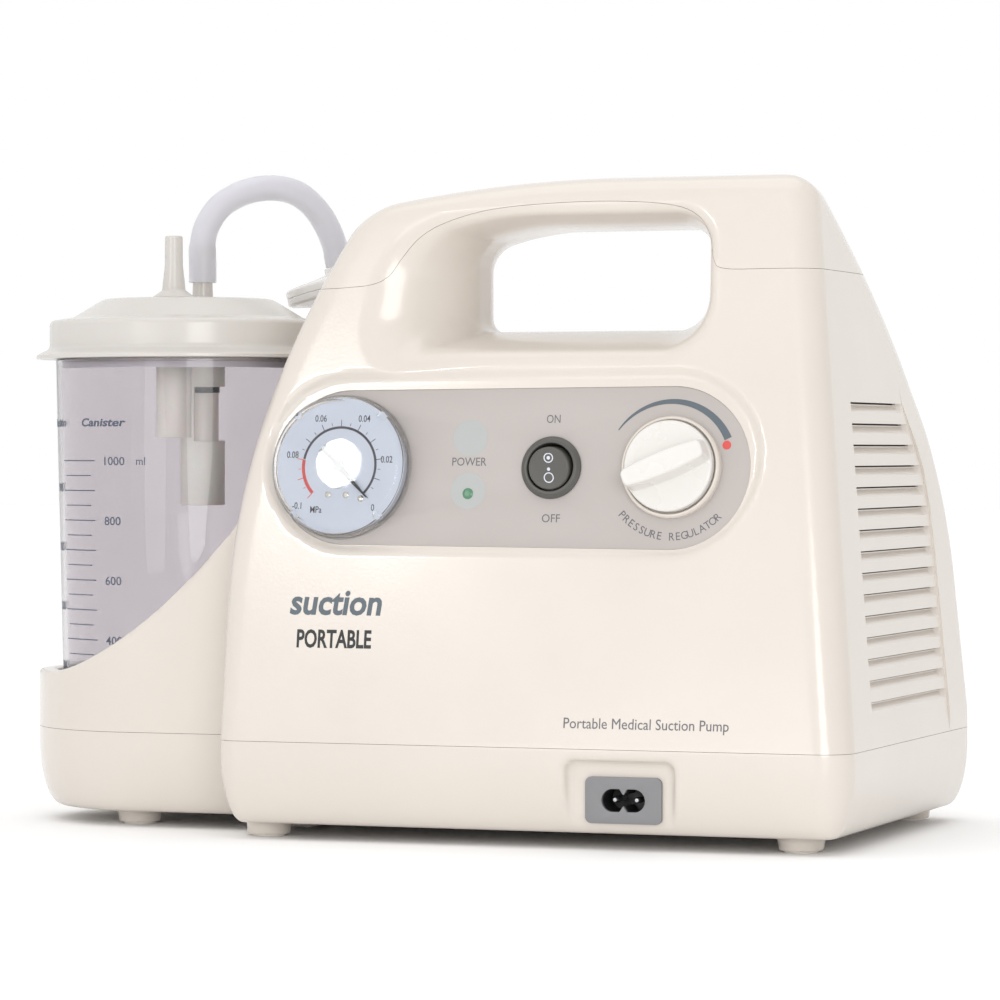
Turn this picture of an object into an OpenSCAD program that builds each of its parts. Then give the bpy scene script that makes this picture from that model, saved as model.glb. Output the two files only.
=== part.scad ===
// Portable suction pump: moulded housing with a carry handle, a control panel,
// a suction canister in a side cradle, and a motor-driven diaphragm pump inside.
// Millimetres, +Z up, +X right, the front faces -Y.
// The origin is on the floor, under the middle of the whole pump.

/* [Housing] */
// Left end of the main housing at the base seam
body_left = -69.5; // [-71:0.5:-68]
// Right end of the main housing at the base seam
body_right = 183.5; // [181:0.5:186]
// Depth of the housing at the base seam
body_depth = 200; // [198:1:204]
// Height of the top of the handle
body_top = 254; // [252:0.5:255]
// Height of the seam between the base tray and the shells
seam_z = 38; // [36:1:40]
// Underside of the base tray
tray_z = 8; // [7:0.5:9]
// Wall thickness of the mouldings
wall = 3; // [2.5:0.5:3.5]
// Lean of the front face from the vertical, degrees
front_lean = 8; // [7:0.5:9]
// Lean of the right face from the vertical, degrees
side_lean = 6; // [5:0.5:7]
// Radius of the upright corners
corner_r = 12; // [10:1:14]
// Position of the seam between the front and the rear shell, above the base seam
rear_seam_y = 54; // [52:1:56]

/* [Handle] */
// Left edge of the handle opening
grip_left = 18; // [14:1:24]
// Right edge of the handle opening
grip_right = 121; // [116:1:123]
// Bottom of the handle opening
grip_bottom = 191; // [188:1:194]
// Top of the handle opening
grip_top = 236.5; // [234:0.5:238]

/* [Control panel] */
// Height of the panel's middle line
panel_z = 143.5; // [141:0.5:146]
// Radius of the panel's round ends
panel_r = 31; // [30:0.5:32]
// Position of the vacuum gauge
gauge_x = -21.5; // [-22:0.5:-20]
// Position of the power lamp
lamp_x = 30; // [26:1:34]
// Position of the rocker switch
switch_x = 63.3; // [60:0.5:66]
// Position of the regulator knob
knob_x = 111.5; // [110:0.5:113]
// Diameter of the gauge lens
gauge_d = 56; // [54:1:57]
// Diameter of the knob
knob_d = 34.6; // [32:0.2:36]
// Diameter of the rocker switch bezel
switch_d = 24; // [23:0.5:25]

/* [Mains inlet] */
// Position of the mains inlet
inlet_x = 96.5; // [90:0.5:100]
// Height of the inlet pins
inlet_z = 19; // [18.5:0.5:20]
// Distance between the inlet pins
pin_pitch = 8.6; // [8.4:0.1:8.8]

/* [Canister] */
// Position of the canister's axis, left to right
can_x = -121.5; // [-122:0.5:-121]
// Position of the canister's axis, front to back
can_y = -6; // [-7:0.5:-5]
// Outer radius at the bottom
can_r_low = 50; // [49:0.5:50]
// Outer radius at the rim
can_r_top = 54; // [53:0.5:54]
// Height of the rim
can_rim_z = 187; // [186:0.5:188]
// Radius of the lid's flange
lid_r = 62; // [61.5:0.5:62]
// Height of the lid's flat top
lid_top_z = 213; // [212:0.5:214]
// Distance of each lid port from the axis
port_offset = 14.5; // [14:0.5:15]
// Outer diameter of the suction hose
hose_d = 10.5; // [10:0.5:11]

/* [Pump] */
// Depth position of the motor's axis
shaft_y = 25; // [23:1:27]
// Height of the motor's axis
shaft_z = 80; // [78:1:81]
// Throw of the eccentric
throw = 2.5; // [2:0.5:2.5]

/* [Hidden] */

CREAM = [0.93, 0.89, 0.84];
TAUPE = [0.78, 0.75, 0.72];
OFF_WHITE = [0.92, 0.91, 0.88];
CLEAR = [0.86, 0.85, 0.92, 0.45];
SILICONE = [0.88, 0.88, 0.90, 0.7];
DARK = [0.22, 0.23, 0.25];
GREY = [0.45, 0.46, 0.48];
STEEL = [0.72, 0.73, 0.75];
BRASS = [0.80, 0.66, 0.35];
COPPER = [0.76, 0.42, 0.22];
RUBBER = [0.12, 0.12, 0.13];
LAMP_GREEN = [0.62, 0.80, 0.68];

ARC_STEPS = 6;      // points on each quarter of a moulded corner
FRONT_Y = -body_depth / 2;
REAR_Y = body_depth / 2;
SPAN = 600;         // longer than the whole pump

// ---- section of the housing at a height ----
FLANK_START = 90;     // the left flank starts to lean in here
FLANK_CURVE = 0.0021;
CROWN_START = 242;    // the top's left end starts to run up here
CROWN_SLOPE = 8;
ROUND_START = 243;    // the front top edge starts to round here
ROUND_CURVE = 0.09;
REAR_START = 100;     // the back starts to lean forward here
REAR_CURVE = 0.0058;

function over(z, start) = max(0, z - start);
function left_x(z) = body_left + FLANK_CURVE * pow(over(z, FLANK_START), 2)
  + CROWN_SLOPE * over(z, CROWN_START);
function right_x(z) = body_right - (z - seam_z) * tan(side_lean)
  - 0.08 * pow(over(z, ROUND_START), 2);
function front_y(z) = FRONT_Y + (z - seam_z) * tan(front_lean);
function rounded_front_y(z) = front_y(z) + ROUND_CURVE * pow(over(z, ROUND_START), 2);
function rear_y(z) = REAR_Y - REAR_CURVE * pow(over(z, REAR_START), 2);
function fit_r(r, a, b) = min(r, (b - a) / 2 - 0.5);

// ring of points: a rectangle with round corners, level at height z
function ring(x0, x1, y0, y1, r, z, steps = ARC_STEPS) = [
  for (q = [0 : 3])
    for (i = [0 : steps])
      let (
        a = 90 * (q + i / steps),
        cx = (q == 0 || q == 3) ? x1 - r : x0 + r,
        cy = (q < 2) ? y1 - r : y0 + r
      )
      [cx + r * cos(a), cy + r * sin(a), z]
];

// housing ring at height z, moved in by inset; the inset ring takes its shape from higher up
function housing_ring(z, inset = 0) = let (
    s = z + inset,
    x0 = left_x(s) + inset,
    x1 = right_x(s) - inset,
    y0 = rounded_front_y(s) + inset,
    y1 = rear_y(s) - inset
  )
  ring(x0, x1, y0, y1, fit_r(corner_r - inset, y0, y1), z);

// solid through a list of rings that have equal counts of points
module loft(rings) {
  m = len(rings[0]);
  last = (len(rings) - 1) * m;
  sides = [
    for (k = [0 : len(rings) - 2])
      for (i = [0 : m - 1])
        let (a = k * m + i, b = k * m + (i + 1) % m)
        each [[a, a + m, b + m], [a, b + m, b]]
  ];
  polyhedron(
    points = [for (r = rings) each r],
    faces = concat([[for (i = [0 : m - 1]) i]], sides, [[for (i = [m - 1 : -1 : 0]) last + i]])
  );
}

OUTER_LEVELS = [seam_z, 60, 85, 110, 130, 150, 168, 184, 198, 210, 220, 229, 237, 243, 248, 251.5, body_top];
INNER_LEVELS = [seam_z - 1, 60, 85, 110, 130, 150, 168, 184, 198, 210, 220, 229, 237, body_top - 2 * wall];

module housing_outside() { loft([for (z = OUTER_LEVELS) housing_ring(z)]); }
module housing_inside() { loft([for (z = INNER_LEVELS) housing_ring(z, wall)]); }

// flat rectangle with round corners, made of true arcs
module round_rect(x0, x1, y0, y1, r) {
  translate([x0 + r, y0]) square([x1 - x0 - 2 * r, y1 - y0]);
  translate([x0, y0 + r]) square([x1 - x0, y1 - y0 - 2 * r]);
  for (x = [x0 + r, x1 - r])
    for (y = [y0 + r, y1 - r])
      translate([x, y]) circle(r, $fn = 32);
}

// upright drawing (x, z) pushed from y0 to y1
module along_y(y0, y1) {
  translate([0, y1, 0]) rotate([90, 0, 0]) linear_extrude(y1 - y0) children();
}

module tube(r, r_in, h) {
  difference() {
    cylinder(r = r, h = h, $fn = 48);
    translate([0, 0, -1]) cylinder(r = r_in, h = h + 2, $fn = 48);
  }
}

// ---- handle opening ----
GRIP_R = 12;
FLARE_Y = -82;
THROAT_Y = -40;
REAR_FLARE_Y = 64;
REAR_THROAT_Y = -24;

module grip_slice(y, grow, left, right, down, up) {
  along_y(y, y + 0.1)
    round_rect(grip_left - left - grow, grip_right + right + grow,
               grip_bottom - down - grow, grip_top + up + grow, GRIP_R + grow);
}
module grip_hole(grow = 0) {
  hull() {
    grip_slice(FLARE_Y, grow, 28, 3, 5, 5);
    grip_slice(THROAT_Y, grow, 0, 0, 0, 0);
  }
  hull() {
    grip_slice(THROAT_Y, grow, 0, 0, 0, 0);
    grip_slice(REAR_THROAT_Y, grow, 0, 0, 0, 0);
  }
  hull() {
    grip_slice(REAR_THROAT_Y, grow, 0, 0, 0, 0);
    grip_slice(REAR_FLARE_Y, grow, 14, 10, 3, 8);
  }
}

// line of the seam under the top cover, seen from the front: all that lies above it
COVER_SEAM = [
  [-90, 212], [-22, 212], [-13, 214], [-6, 219.5], [0, 227], [8, 233.5], [22, 239.5],
  [40, 243], [62, 244.5], [92, 244.5], [106, 242.5], [117, 238], [122, 229], [124, 221],
  [128.5, 218], [200, 218], [200, 262], [-90, 262]
];
module above_cover_seam() { along_y(FRONT_Y - 10, REAR_Y + 10) polygon(COVER_SEAM); }

// line of the seam in front of the rear shell, seen from the side: [y - rear_seam_y, z]
REAR_SEAM = [
  [0, 0], [0, 50], [1, 80], [2, 105], [1.5, 127], [-2.5, 142], [-9, 151], [-17, 160],
  [-23.5, 168], [-27, 180], [-28, 200], [-28, 262]
];
module behind_rear_seam() {
  translate([-SPAN / 2, 0, 0]) rotate([90, 0, 90]) linear_extrude(SPAN)
    polygon(concat([for (p = REAR_SEAM) [rear_seam_y + p[0], p[1]]], [[SPAN, 262], [SPAN, 0]]));
}
function rear_seam_at(z) = rear_seam_y + lookup(z, [for (p = REAR_SEAM) [p[1], p[0]]]);

// front frame: x across, y up the leaning face, z out of it
module on_front(x, z = panel_z) {
  translate([x, front_y(z), z]) rotate([90 - front_lean, 0, 0]) children();
}

PANEL_END = 2;       // middle of the panel's left end, right of the gauge's middle
module panel_outline(r) {
  hull() {
    translate([gauge_x + PANEL_END, 0]) circle(r - 1, $fn = 48);
    translate([knob_x - 0.5, 0]) circle(r, $fn = 48);
  }
}

// cooling slots through the right side wall
SLOTS = 15;
SLOT_TOP = 168.2;    // upper edge of the highest slot
SLOT_PITCH = 8.07;
SLOT_H = 2;
SLOT_FRONT_Y = -45;
SLOT_STEP_Y = -1;    // each slot starts this much further forward than the one above
module side_slots() {
  for (i = [0 : SLOTS - 1])
    let (z = SLOT_TOP - i * SLOT_PITCH, y0 = SLOT_FRONT_Y + i * SLOT_STEP_Y)
    translate([right_x(z) - 8, y0, z - SLOT_H]) cube([16, rear_seam_at(z) - 5 - y0, SLOT_H]);
}

BOSS_X = [-36, 146];
BOSS_Y = 84;
BOSS_R = 5;
BOSS_TOP = 52;
module shell_boss(x, side) {
  translate([x, side * BOSS_Y, seam_z]) tube(BOSS_R, SCREW_R + 0.2, BOSS_TOP - seam_z);
  translate([x - 1.5, side > 0 ? BOSS_Y + BOSS_R - 1 : -BOSS_Y - BOSS_R - 8, seam_z])
    cube([3, 9, BOSS_TOP - seam_z]);
}

module shell_wall() {
  difference() {
    housing_outside();
    difference() {
      housing_inside();
      intersection() {
        grip_hole(wall);
        translate([-SPAN / 2, FRONT_Y, seam_z]) cube([SPAN, REAR_FLARE_Y - 3 - FRONT_Y, SPAN]);
      }
    }
    grip_hole();
  }
}

POCKET_R = 53.2;
module canister_room(r) {
  translate([can_x, can_y, seam_z - 1]) cylinder(r = r, h = SPAN, $fn = 64);
}

module front_shell() {
  color(CREAM) {
    difference() {
      shell_wall();
      above_cover_seam();
      behind_rear_seam();
      on_front(0) translate([0, 0, -12]) linear_extrude(24) panel_outline(panel_r + 0.4);
      side_slots();
      canister_room(POCKET_R);
    }
    for (x = BOSS_X) shell_boss(x, -1);
  }
}

module rear_shell() {
  color(CREAM) {
    difference() {
      intersection() {
        shell_wall();
        behind_rear_seam();
      }
      above_cover_seam();
      run(PORT_ROUTE, PORT_R + 0.3, 12);
    }
    for (x = BOSS_X) shell_boss(x, 1);
  }
}

module top_cover() {
  color(CREAM) intersection() {
    shell_wall();
    above_cover_seam();
  }
}

// ---- base tray and cradle ----
LOBE_R = 60.5;
module lobe_outline(inset = 0) {
  translate([can_x, can_y]) circle(LOBE_R - inset, $fn = 96);
  translate([can_x, can_y - LOBE_R + inset])
    square([body_left - can_x + 12, 2 * (LOBE_R - inset)]);
}

FOOT_R = 8.5;
PAD_R = 6.5;
PAD_H = 3;
FEET = [[159.5, -76], [-56, -76], [159.5, 80], [-56, 80], [can_x - 6, -40], [can_x - 6, 28]];
FLOOR = 2.5;
INLET_W = 30;
INLET_H = 17.5;
INLET_FACE_Y = FRONT_Y + 4;
INLET_MID_Z = inlet_z;

// the tray's lower edge is rounded: how far the side stands in at a height
ROUND_H = 26;
ROUND_IN = 9;
TRAY_LEVELS = [tray_z, 10, 13, 17, 23, 34, seam_z];
function round_in(z) = let (t = max(0, 1 - (z - tray_z) / ROUND_H)) ROUND_IN * (1 - sqrt(1 - 0.98 * t * t));
function tray_ring(z, inset = 0) = let (i = round_in(z) + inset)
  ring(body_left + i, body_right - i, FRONT_Y + i, REAR_Y - i, corner_r + 2, z);
function lobe_ring(z, inset = 0) = let (i = round_in(z) + inset)
  ring(can_x - LOBE_R + i, body_left + 20, can_y - LOBE_R + i, can_y + LOBE_R - i, LOBE_R - i, z, 14);

module tray_solid() {
  loft([for (z = TRAY_LEVELS) tray_ring(z)]);
  loft([for (z = TRAY_LEVELS) lobe_ring(z)]);
  for (p = FEET) translate([p[0], p[1], 0.8]) cylinder(r = FOOT_R, h = tray_z + 6, $fn = 40);
}

WELL_R = 50.9;
WELL_WALL = 2.5;
ROOM_LEVELS = [tray_z + FLOOR, 13, 17, 23, 34, seam_z + 1];
module tray_room() {
  difference() {
    union() {
      loft([for (z = ROOM_LEVELS) tray_ring(z, wall)]);
      loft([for (z = ROOM_LEVELS) lobe_ring(z, wall)]);
    }
    translate([can_x, can_y, 0]) cylinder(r = WELL_R + WELL_WALL, h = seam_z - 0.5, $fn = 64);
    for (x = BOSS_X)
      for (y = [-BOSS_Y, BOSS_Y])
        translate([x, y, 0]) cylinder(r = BOSS_R, h = seam_z, $fn = 32);
    translate([inlet_x - INLET_W / 2 - 5, FRONT_Y, 0])
      cube([INLET_W + 10, INLET_FACE_Y - FRONT_Y + wall, 34 + wall]);
  }
}

SCREW_R = 1.5;
SCREW_HEAD_R = 3.2;
module base_tray() {
  color(CREAM) difference() {
    tray_solid();
    tray_room();
    translate([can_x, can_y, tray_z + FLOOR]) cylinder(r = WELL_R, h = SPAN, $fn = 64);
    translate([inlet_x - INLET_W / 2 - 4.5, FRONT_Y - 1, tray_z - 1])
      cube([INLET_W + 9, INLET_FACE_Y - FRONT_Y + 1, 33 - tray_z + 1]);
    translate([inlet_x - 11.6, FRONT_Y, INLET_MID_Z - 6.1]) cube([23.2, 20, 12.2]);
    for (p = FEET) translate([p[0], p[1], 0]) cylinder(r = PAD_R, h = PAD_H, $fn = 40);
    for (x = BOSS_X)
      for (y = [-BOSS_Y, BOSS_Y])
        translate([x, y, 0]) {
          cylinder(r = SCREW_R + 0.2, h = SPAN, $fn = 24);
          cylinder(r = SCREW_HEAD_R + 0.2, h = tray_z + 4, $fn = 24);
        }
    for (i = [0 : 5])
      translate([40 + i * 12, -30, 0]) cube([4, 70, tray_z + FLOOR + 1]);
  }
}

module foot_pads() {
  color(RUBBER) for (p = FEET) translate([p[0], p[1], 0]) cylinder(r = PAD_R - 0.05, h = PAD_H, $fn = 40);
}

// height of the cradle's sweeping edge above the floor
SWEEP_LOW = 61;
SWEEP_RISE = 52;
function sweep_z(x) = SWEEP_LOW + SWEEP_RISE * pow(max(0, min(1, (x + 162) / 81)), 1.7);
module under_sweep(drop) {
  xs = [for (i = [0 : 12]) -186 + i * 10.5];
  along_y(FRONT_Y, REAR_Y)
    polygon(concat([[-186, 30]], [for (x = xs) [x, sweep_z(x) - drop]], [[-60, 30]]));
}
CRADLE_BORE = 53;
module canister_cradle() {
  color(CREAM) difference() {
    intersection() {
      translate([0, 0, seam_z]) linear_extrude(90) lobe_outline();
      under_sweep(0);
    }
    canister_room(CRADLE_BORE);
    difference() {
      intersection() {
        translate([0, 0, seam_z - 1]) linear_extrude(90) lobe_outline(2.5);
        under_sweep(2.5);
      }
      canister_room(CRADLE_BORE + 2.2);
    }
    housing_block();
  }
}
// the room that the main housing takes, with a hair of clearance
module housing_block() {
  loft([for (z = [seam_z - 1, 60, 85, 110, 130])
    ring(left_x(z) - 0.05, body_right, front_y(z) - 0.05, REAR_Y, corner_r, z)]);
}

// ---- control panel ----
PANEL_OUT = -1.6;    // the panel's face lies this far under the housing's face
PANEL_T = 2;
GAUGE_BODY_R = 24.5;
SWITCH_BODY_R = 10.5;
STEM_R = 3;
LAMP_R = 2.2;
LAMP_DROP = -10;

module control_panel() {
  color(TAUPE) on_front(0) translate([0, 0, PANEL_OUT - PANEL_T]) difference() {
    linear_extrude(PANEL_T) panel_outline(panel_r);
    translate([gauge_x, 0, -1]) cylinder(r = GAUGE_BODY_R + 0.1, h = 9, $fn = 64);
    translate([lamp_x, LAMP_DROP, -1]) cylinder(r = LAMP_R + 0.1, h = 9, $fn = 32);
    translate([switch_x, 0, -1]) cylinder(r = SWITCH_BODY_R + 0.1, h = 9, $fn = 64);
    translate([knob_x, 0, -1]) cylinder(r = 5.1, h = 9, $fn = 48);
  }
}

// ---- vacuum gauge ----
GAUGE_BACK = -30;
DIAL_Z = 2;
module gauge_case() {
  color(DARK) on_front(gauge_x) {
    difference() {
      translate([0, 0, GAUGE_BACK]) cylinder(r = GAUGE_BODY_R, h = DIAL_Z - GAUGE_BACK, $fn = 64);
      translate([0, 0, GAUGE_BACK + 2]) cylinder(r = GAUGE_BODY_R - 1.6, h = 60, $fn = 64);
    }
    translate([0, 0, PANEL_OUT]) tube(26, GAUGE_BODY_R - 0.2, 1.2);
    translate([0, -12, GAUGE_BACK - 10]) cylinder(r = 3, h = 10.5, $fn = 32);
  }
}
module gauge_movement() {
  color(BRASS) on_front(gauge_x) {
    translate([0, -12, GAUGE_BACK + 2]) cylinder(r = 4, h = 12, $fn = 32);
    translate([-7, -6, GAUGE_BACK + 10]) difference() {
      cube([14, 12, 13]);
      translate([7, 6, -1]) cylinder(r = 1.3, h = 20, $fn = 24);
    }
    translate([0, 0, GAUGE_BACK + 12]) rotate(-60) rotate_extrude(angle = 250, $fn = 48)
      translate([16, 0]) square([2.5, 6]);
    translate([-4, -14, GAUGE_BACK + 10]) cube([8, 9, 3]);
    translate([0, -12, GAUGE_BACK + 12]) cube([14, 3, 2]);
  }
}
module gauge_dial() {
  color([0.86, 0.90, 0.95]) on_front(gauge_x) translate([0, 0, DIAL_Z]) tube(23.5, 1.3, 0.8);
}
module gauge_screws() {
  color(STEEL) on_front(gauge_x) for (p = [[-3.8, -11.3], [3.6, -11.3], [9.6, -12.6]])
    translate([p[0], p[1], DIAL_Z + 0.8]) cylinder(r = 1.1, h = 0.5, $fn = 24);
}
// the pointer at rest points at zero, low on the right
POINTER_REST = -45;
POINTER_Z = DIAL_Z + 2;
module gauge_pointer() {
  color(RUBBER) on_front(gauge_x) rotate(POINTER_REST) {
    translate([0, 0, GAUGE_BACK + 11]) cylinder(r = 1, h = POINTER_Z - GAUGE_BACK - 11, $fn = 24);
    translate([0, 0, POINTER_Z]) cylinder(r = 2.2, h = 1.2, $fn = 32);
    translate([0, 0, POINTER_Z]) linear_extrude(0.7)
      polygon([[-9, -1.1], [0, -1.3], [17.5, -0.25], [17.5, 0.25], [0, 1.3], [-9, 1.1]]);
  }
}
LENS_H = 8.5;
LENS_WALL = 1.4;
module gauge_lens() {
  color(CLEAR) on_front(gauge_x) difference() {
    union() {
      translate([0, 0, PANEL_OUT]) cylinder(r = gauge_d / 2, h = LENS_H - 1.5, $fn = 72);
      translate([0, 0, PANEL_OUT + LENS_H - 1.5])
        cylinder(r1 = gauge_d / 2, r2 = gauge_d / 2 - 1.5, h = 1.5, $fn = 72);
      for (a = [45 : 90 : 315])
        rotate(a) translate([gauge_d / 2 - 1, -2.5, PANEL_OUT]) cube([1.4, 5, 3]);
    }
    translate([0, 0, PANEL_OUT - 1]) cylinder(r = gauge_d / 2 - LENS_WALL + 0.45, h = 2.3, $fn = 72);
    translate([0, 0, PANEL_OUT]) cylinder(r = gauge_d / 2 - LENS_WALL - 1, h = LENS_H - 1.4, $fn = 72);
  }
}

// ---- power lamp ----
module power_lamp() {
  color(LAMP_GREEN) on_front(lamp_x) translate([0, LAMP_DROP, 0]) {
    translate([0, 0, -8]) cylinder(r = LAMP_R, h = 8 + PANEL_OUT - 0.2, $fn = 32);
    translate([0, 0, PANEL_OUT - 0.2]) cylinder(r1 = LAMP_R, r2 = 1.4, h = 0.7, $fn = 32);
  }
}
module lamp_board() {
  color([0.15, 0.42, 0.25]) on_front(lamp_x) translate([-9, LAMP_DROP - 8, -9.6]) cube([18, 26, 1.6]);
}

// ---- rocker switch ----
ROCKER_TILT = 12;
module switch_body() {
  color(DARK) on_front(switch_x) difference() {
    union() {
      translate([0, 0, PANEL_OUT]) cylinder(r = switch_d / 2, h = 2, $fn = 64);
      translate([0, 0, -20]) cylinder(r = SWITCH_BODY_R, h = 20.5, $fn = 64);
    }
    translate([0, 0, -9]) cylinder(r = 9.2, h = 20, $fn = 64);
  }
}
// at rest its lower end is pressed in
module switch_rocker() {
  color(DARK) on_front(switch_x) translate([0, 0, -2]) rotate([ROCKER_TILT, 0, 0])
    intersection() {
      translate([0, 0, -4]) cylinder(r = 8.2, h = 8, $fn = 64);
      rotate([0, 90, 0]) translate([2, 0, -9]) cylinder(r = 8.9, h = 18, $fn = 64);
      translate([-7.9, -9, -4]) cube([15.8, 18, 9]);
    }
}
module switch_tabs() {
  color(STEEL) on_front(switch_x) for (x = [-5, 5]) for (y = [-3, 4])
    translate([x - 0.4, y - 2, -27]) cube([0.8, 4, 7]);
}

// ---- regulator ----
RING_R = 19.3;
module regulator_ring() {
  color(CREAM) on_front(knob_x) translate([0, 0, PANEL_OUT]) difference() {
    union() {
      cylinder(r = RING_R, h = 3.2, $fn = 72);
      translate([0, 0, 3.2]) cylinder(r1 = RING_R, r2 = RING_R - 1, h = 1, $fn = 72);
    }
    translate([0, 0, 1.6]) cylinder(r = knob_d / 2 + 0.5, h = 9, $fn = 72);
    translate([0, 0, -1]) cylinder(r = 7.2, h = 9, $fn = 48);
  }
}
KNOB_Z = PANEL_OUT + 2;
KNOB_DISC = 5;
KNOB_H = 13;
GRIP_ANGLE = 22;     // at rest the grip bar points at the red mark
module regulator_knob() {
  color(OFF_WHITE) on_front(knob_x) rotate(GRIP_ANGLE) difference() {
    union() {
      translate([0, 0, KNOB_Z]) cylinder(r = knob_d / 2, h = KNOB_DISC, $fn = 72);
      intersection() {
        translate([0, 0, KNOB_Z]) cylinder(r = knob_d / 2 - 0.5, h = KNOB_H, $fn = 72);
        translate([-knob_d / 2, 0, KNOB_Z + KNOB_DISC - 0.5]) rotate([90, 0, 90])
          linear_extrude(knob_d)
            polygon([[-5, 0], [5, 0], [3.2, KNOB_H - KNOB_DISC], [-3.2, KNOB_H - KNOB_DISC]]);
      }
    }
    translate([0, 0, KNOB_Z - 1]) cylinder(r = STEM_R, h = KNOB_H - 4, $fn = 40);
  }
}
module regulator_stem() {
  color(BRASS) on_front(knob_x) {
    translate([0, 0, -26]) cylinder(r = STEM_R, h = KNOB_Z - 1 + KNOB_H - 4 + 26, $fn = 40);
    translate([0, 0, -30]) cylinder(r1 = 1, r2 = STEM_R, h = 4, $fn = 40);
  }
}
VALVE_R = 9;
module regulator_valve() {
  color(BRASS) on_front(knob_x) difference() {
    union() {
      translate([0, 0, -36]) cylinder(r = VALVE_R, h = 33 + PANEL_OUT - PANEL_T + 3, $fn = 48);
      translate([0, 0, -6]) cylinder(r = 5, h = 6 + PANEL_OUT + 1.6, $fn = 48);
      rotate([0, 90, 0]) translate([28, 0, -18]) cylinder(r = 2.5, h = 36, $fn = 32);
    }
    translate([0, 0, -31]) cylinder(r = STEM_R + 0.05, h = 60, $fn = 40);
    rotate([0, 90, 0]) translate([28, 0, -20]) cylinder(r = 1.4, h = 40, $fn = 24);
  }
}
module regulator_nut() {
  color(STEEL) on_front(knob_x) translate([0, 0, PANEL_OUT + 0.05]) tube(7, 5.05, 1.4);
}

// ---- mains inlet ----
module inlet_cavity(grow, depth) {
  for (s = [-1, 1]) translate([s * pin_pitch / 2, 0, -depth]) cylinder(r = 4.3 + grow, h = depth + 1, $fn = 40);
  translate([0, 0, -depth]) linear_extrude(depth + 1) intersection() {
    square([pin_pitch, 9 + 2 * grow], center = true);
    difference() {
      square([pin_pitch, 8.6 + 2 * grow], center = true);
      for (s = [-1, 1]) polygon([[-2, s * 5], [0, s * 2.1], [2, s * 5]]);
    }
  }
}
module on_inlet() { translate([inlet_x, INLET_FACE_Y - 1.5, inlet_z]) rotate([90, 0, 0]) children(); }
INLET_DEPTH = 14;
module mains_inlet() {
  color(GREY) on_inlet() difference() {
    union() {
      translate([0, 0, -1.5]) linear_extrude(1.5)
        round_rect(-INLET_W / 2, INLET_W / 2, -INLET_H / 2, INLET_H / 2, 2.5);
      translate([0, 0, -INLET_DEPTH - 2.5]) linear_extrude(INLET_DEPTH + 1.5)
        round_rect(-11.5, 11.5, -6, 6, 4);
    }
    inlet_cavity(0, INLET_DEPTH);
    for (s = [-1, 1])
      translate([s * pin_pitch / 2, 0, -INLET_DEPTH - 4]) cylinder(r = 1.25, h = 6, $fn = 24);
  }
}
module inlet_pins() {
  color(STEEL) on_inlet() for (s = [-1, 1]) translate([s * pin_pitch / 2, 0, 0]) {
    translate([0, 0, -INLET_DEPTH - 8]) cylinder(r = 1.2, h = INLET_DEPTH + 8 - 4, $fn = 24);
    translate([0, 0, -4]) cylinder(r1 = 1.2, r2 = 0.7, h = 0.8, $fn = 24);
  }
}

// ---- canister ----
CAN_FLOOR_Z = tray_z + FLOOR;
CAN_WALL = 2;
CAN_BASE = 2.5;
module on_can() { translate([can_x, can_y, 0]) children(); }
module canister() {
  color(CLEAR) on_can() difference() {
    union() {
      translate([0, 0, CAN_FLOOR_Z])
        cylinder(r1 = can_r_low, r2 = can_r_top, h = can_rim_z - CAN_FLOOR_Z, $fn = 96);
    }
    translate([0, 0, CAN_FLOOR_Z + CAN_BASE])
      cylinder(r1 = can_r_low - CAN_WALL, r2 = can_r_top - CAN_WALL,
               h = can_rim_z - CAN_FLOOR_Z - CAN_BASE + 0.01, $fn = 96);
  }
}
BAND_R = 56.5;
BAND_Z = 201;
SHOULDER_R = 47.5;
SHOULDER_Z = 204;
PLATEAU_R = 35.5;
PLATEAU_Z = 211.5;
LID_WALL = 3;
SKIRT_R = can_r_top - 6;
SPIGOT_R = 3.6;
SPIGOT_BASE_R = 4.6;
STUB_R = 4.2;
PATIENT_TOP = 237;
HOSE_START = 219;
module canister_lid() {
  color(OFF_WHITE) on_can() difference() {
    union() {
      rotate_extrude($fn = 96) polygon([
        [0, lid_top_z - LID_WALL], [PLATEAU_R - 1.5, PLATEAU_Z - LID_WALL],
        [SKIRT_R - 2, SHOULDER_Z - LID_WALL], [SKIRT_R, can_rim_z + 11], [SKIRT_R, can_rim_z - 7],
        [can_r_top - CAN_WALL - 2, can_rim_z - 7], [can_r_top - CAN_WALL - 2, can_rim_z],
        [lid_r, can_rim_z], [lid_r, can_rim_z + 1.4], [BAND_R + 2, can_rim_z + 2.4],
        [BAND_R, can_rim_z + 4], [BAND_R, BAND_Z], [BAND_R - 2, BAND_Z + 1.6],
        [SHOULDER_R, SHOULDER_Z], [PLATEAU_R, PLATEAU_Z], [0, lid_top_z]
      ]);
      translate([0, -port_offset, lid_top_z - 1]) {
        cylinder(r1 = 7.6, r2 = SPIGOT_BASE_R, h = 3.4, $fn = 48);
        cylinder(r1 = SPIGOT_BASE_R, r2 = SPIGOT_R, h = 12, $fn = 48);
        cylinder(r = SPIGOT_R, h = PATIENT_TOP - lid_top_z + 1, $fn = 48);
      }
      translate([0, port_offset, lid_top_z - 1]) cylinder(r = STUB_R, h = HOSE_START - lid_top_z + 1, $fn = 48);
      for (p = [[-port_offset, 7.2], [port_offset, 9.25]])
        translate([0, p[0], can_rim_z]) cylinder(r = p[1], h = lid_top_z - can_rim_z - 3, $fn = 48);
    }
    for (p = [[-port_offset, 2], [port_offset, 2.6]])
      translate([0, p[0], can_rim_z - 1]) cylinder(r = p[1], h = 70, $fn = 40);
  }
}
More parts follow.
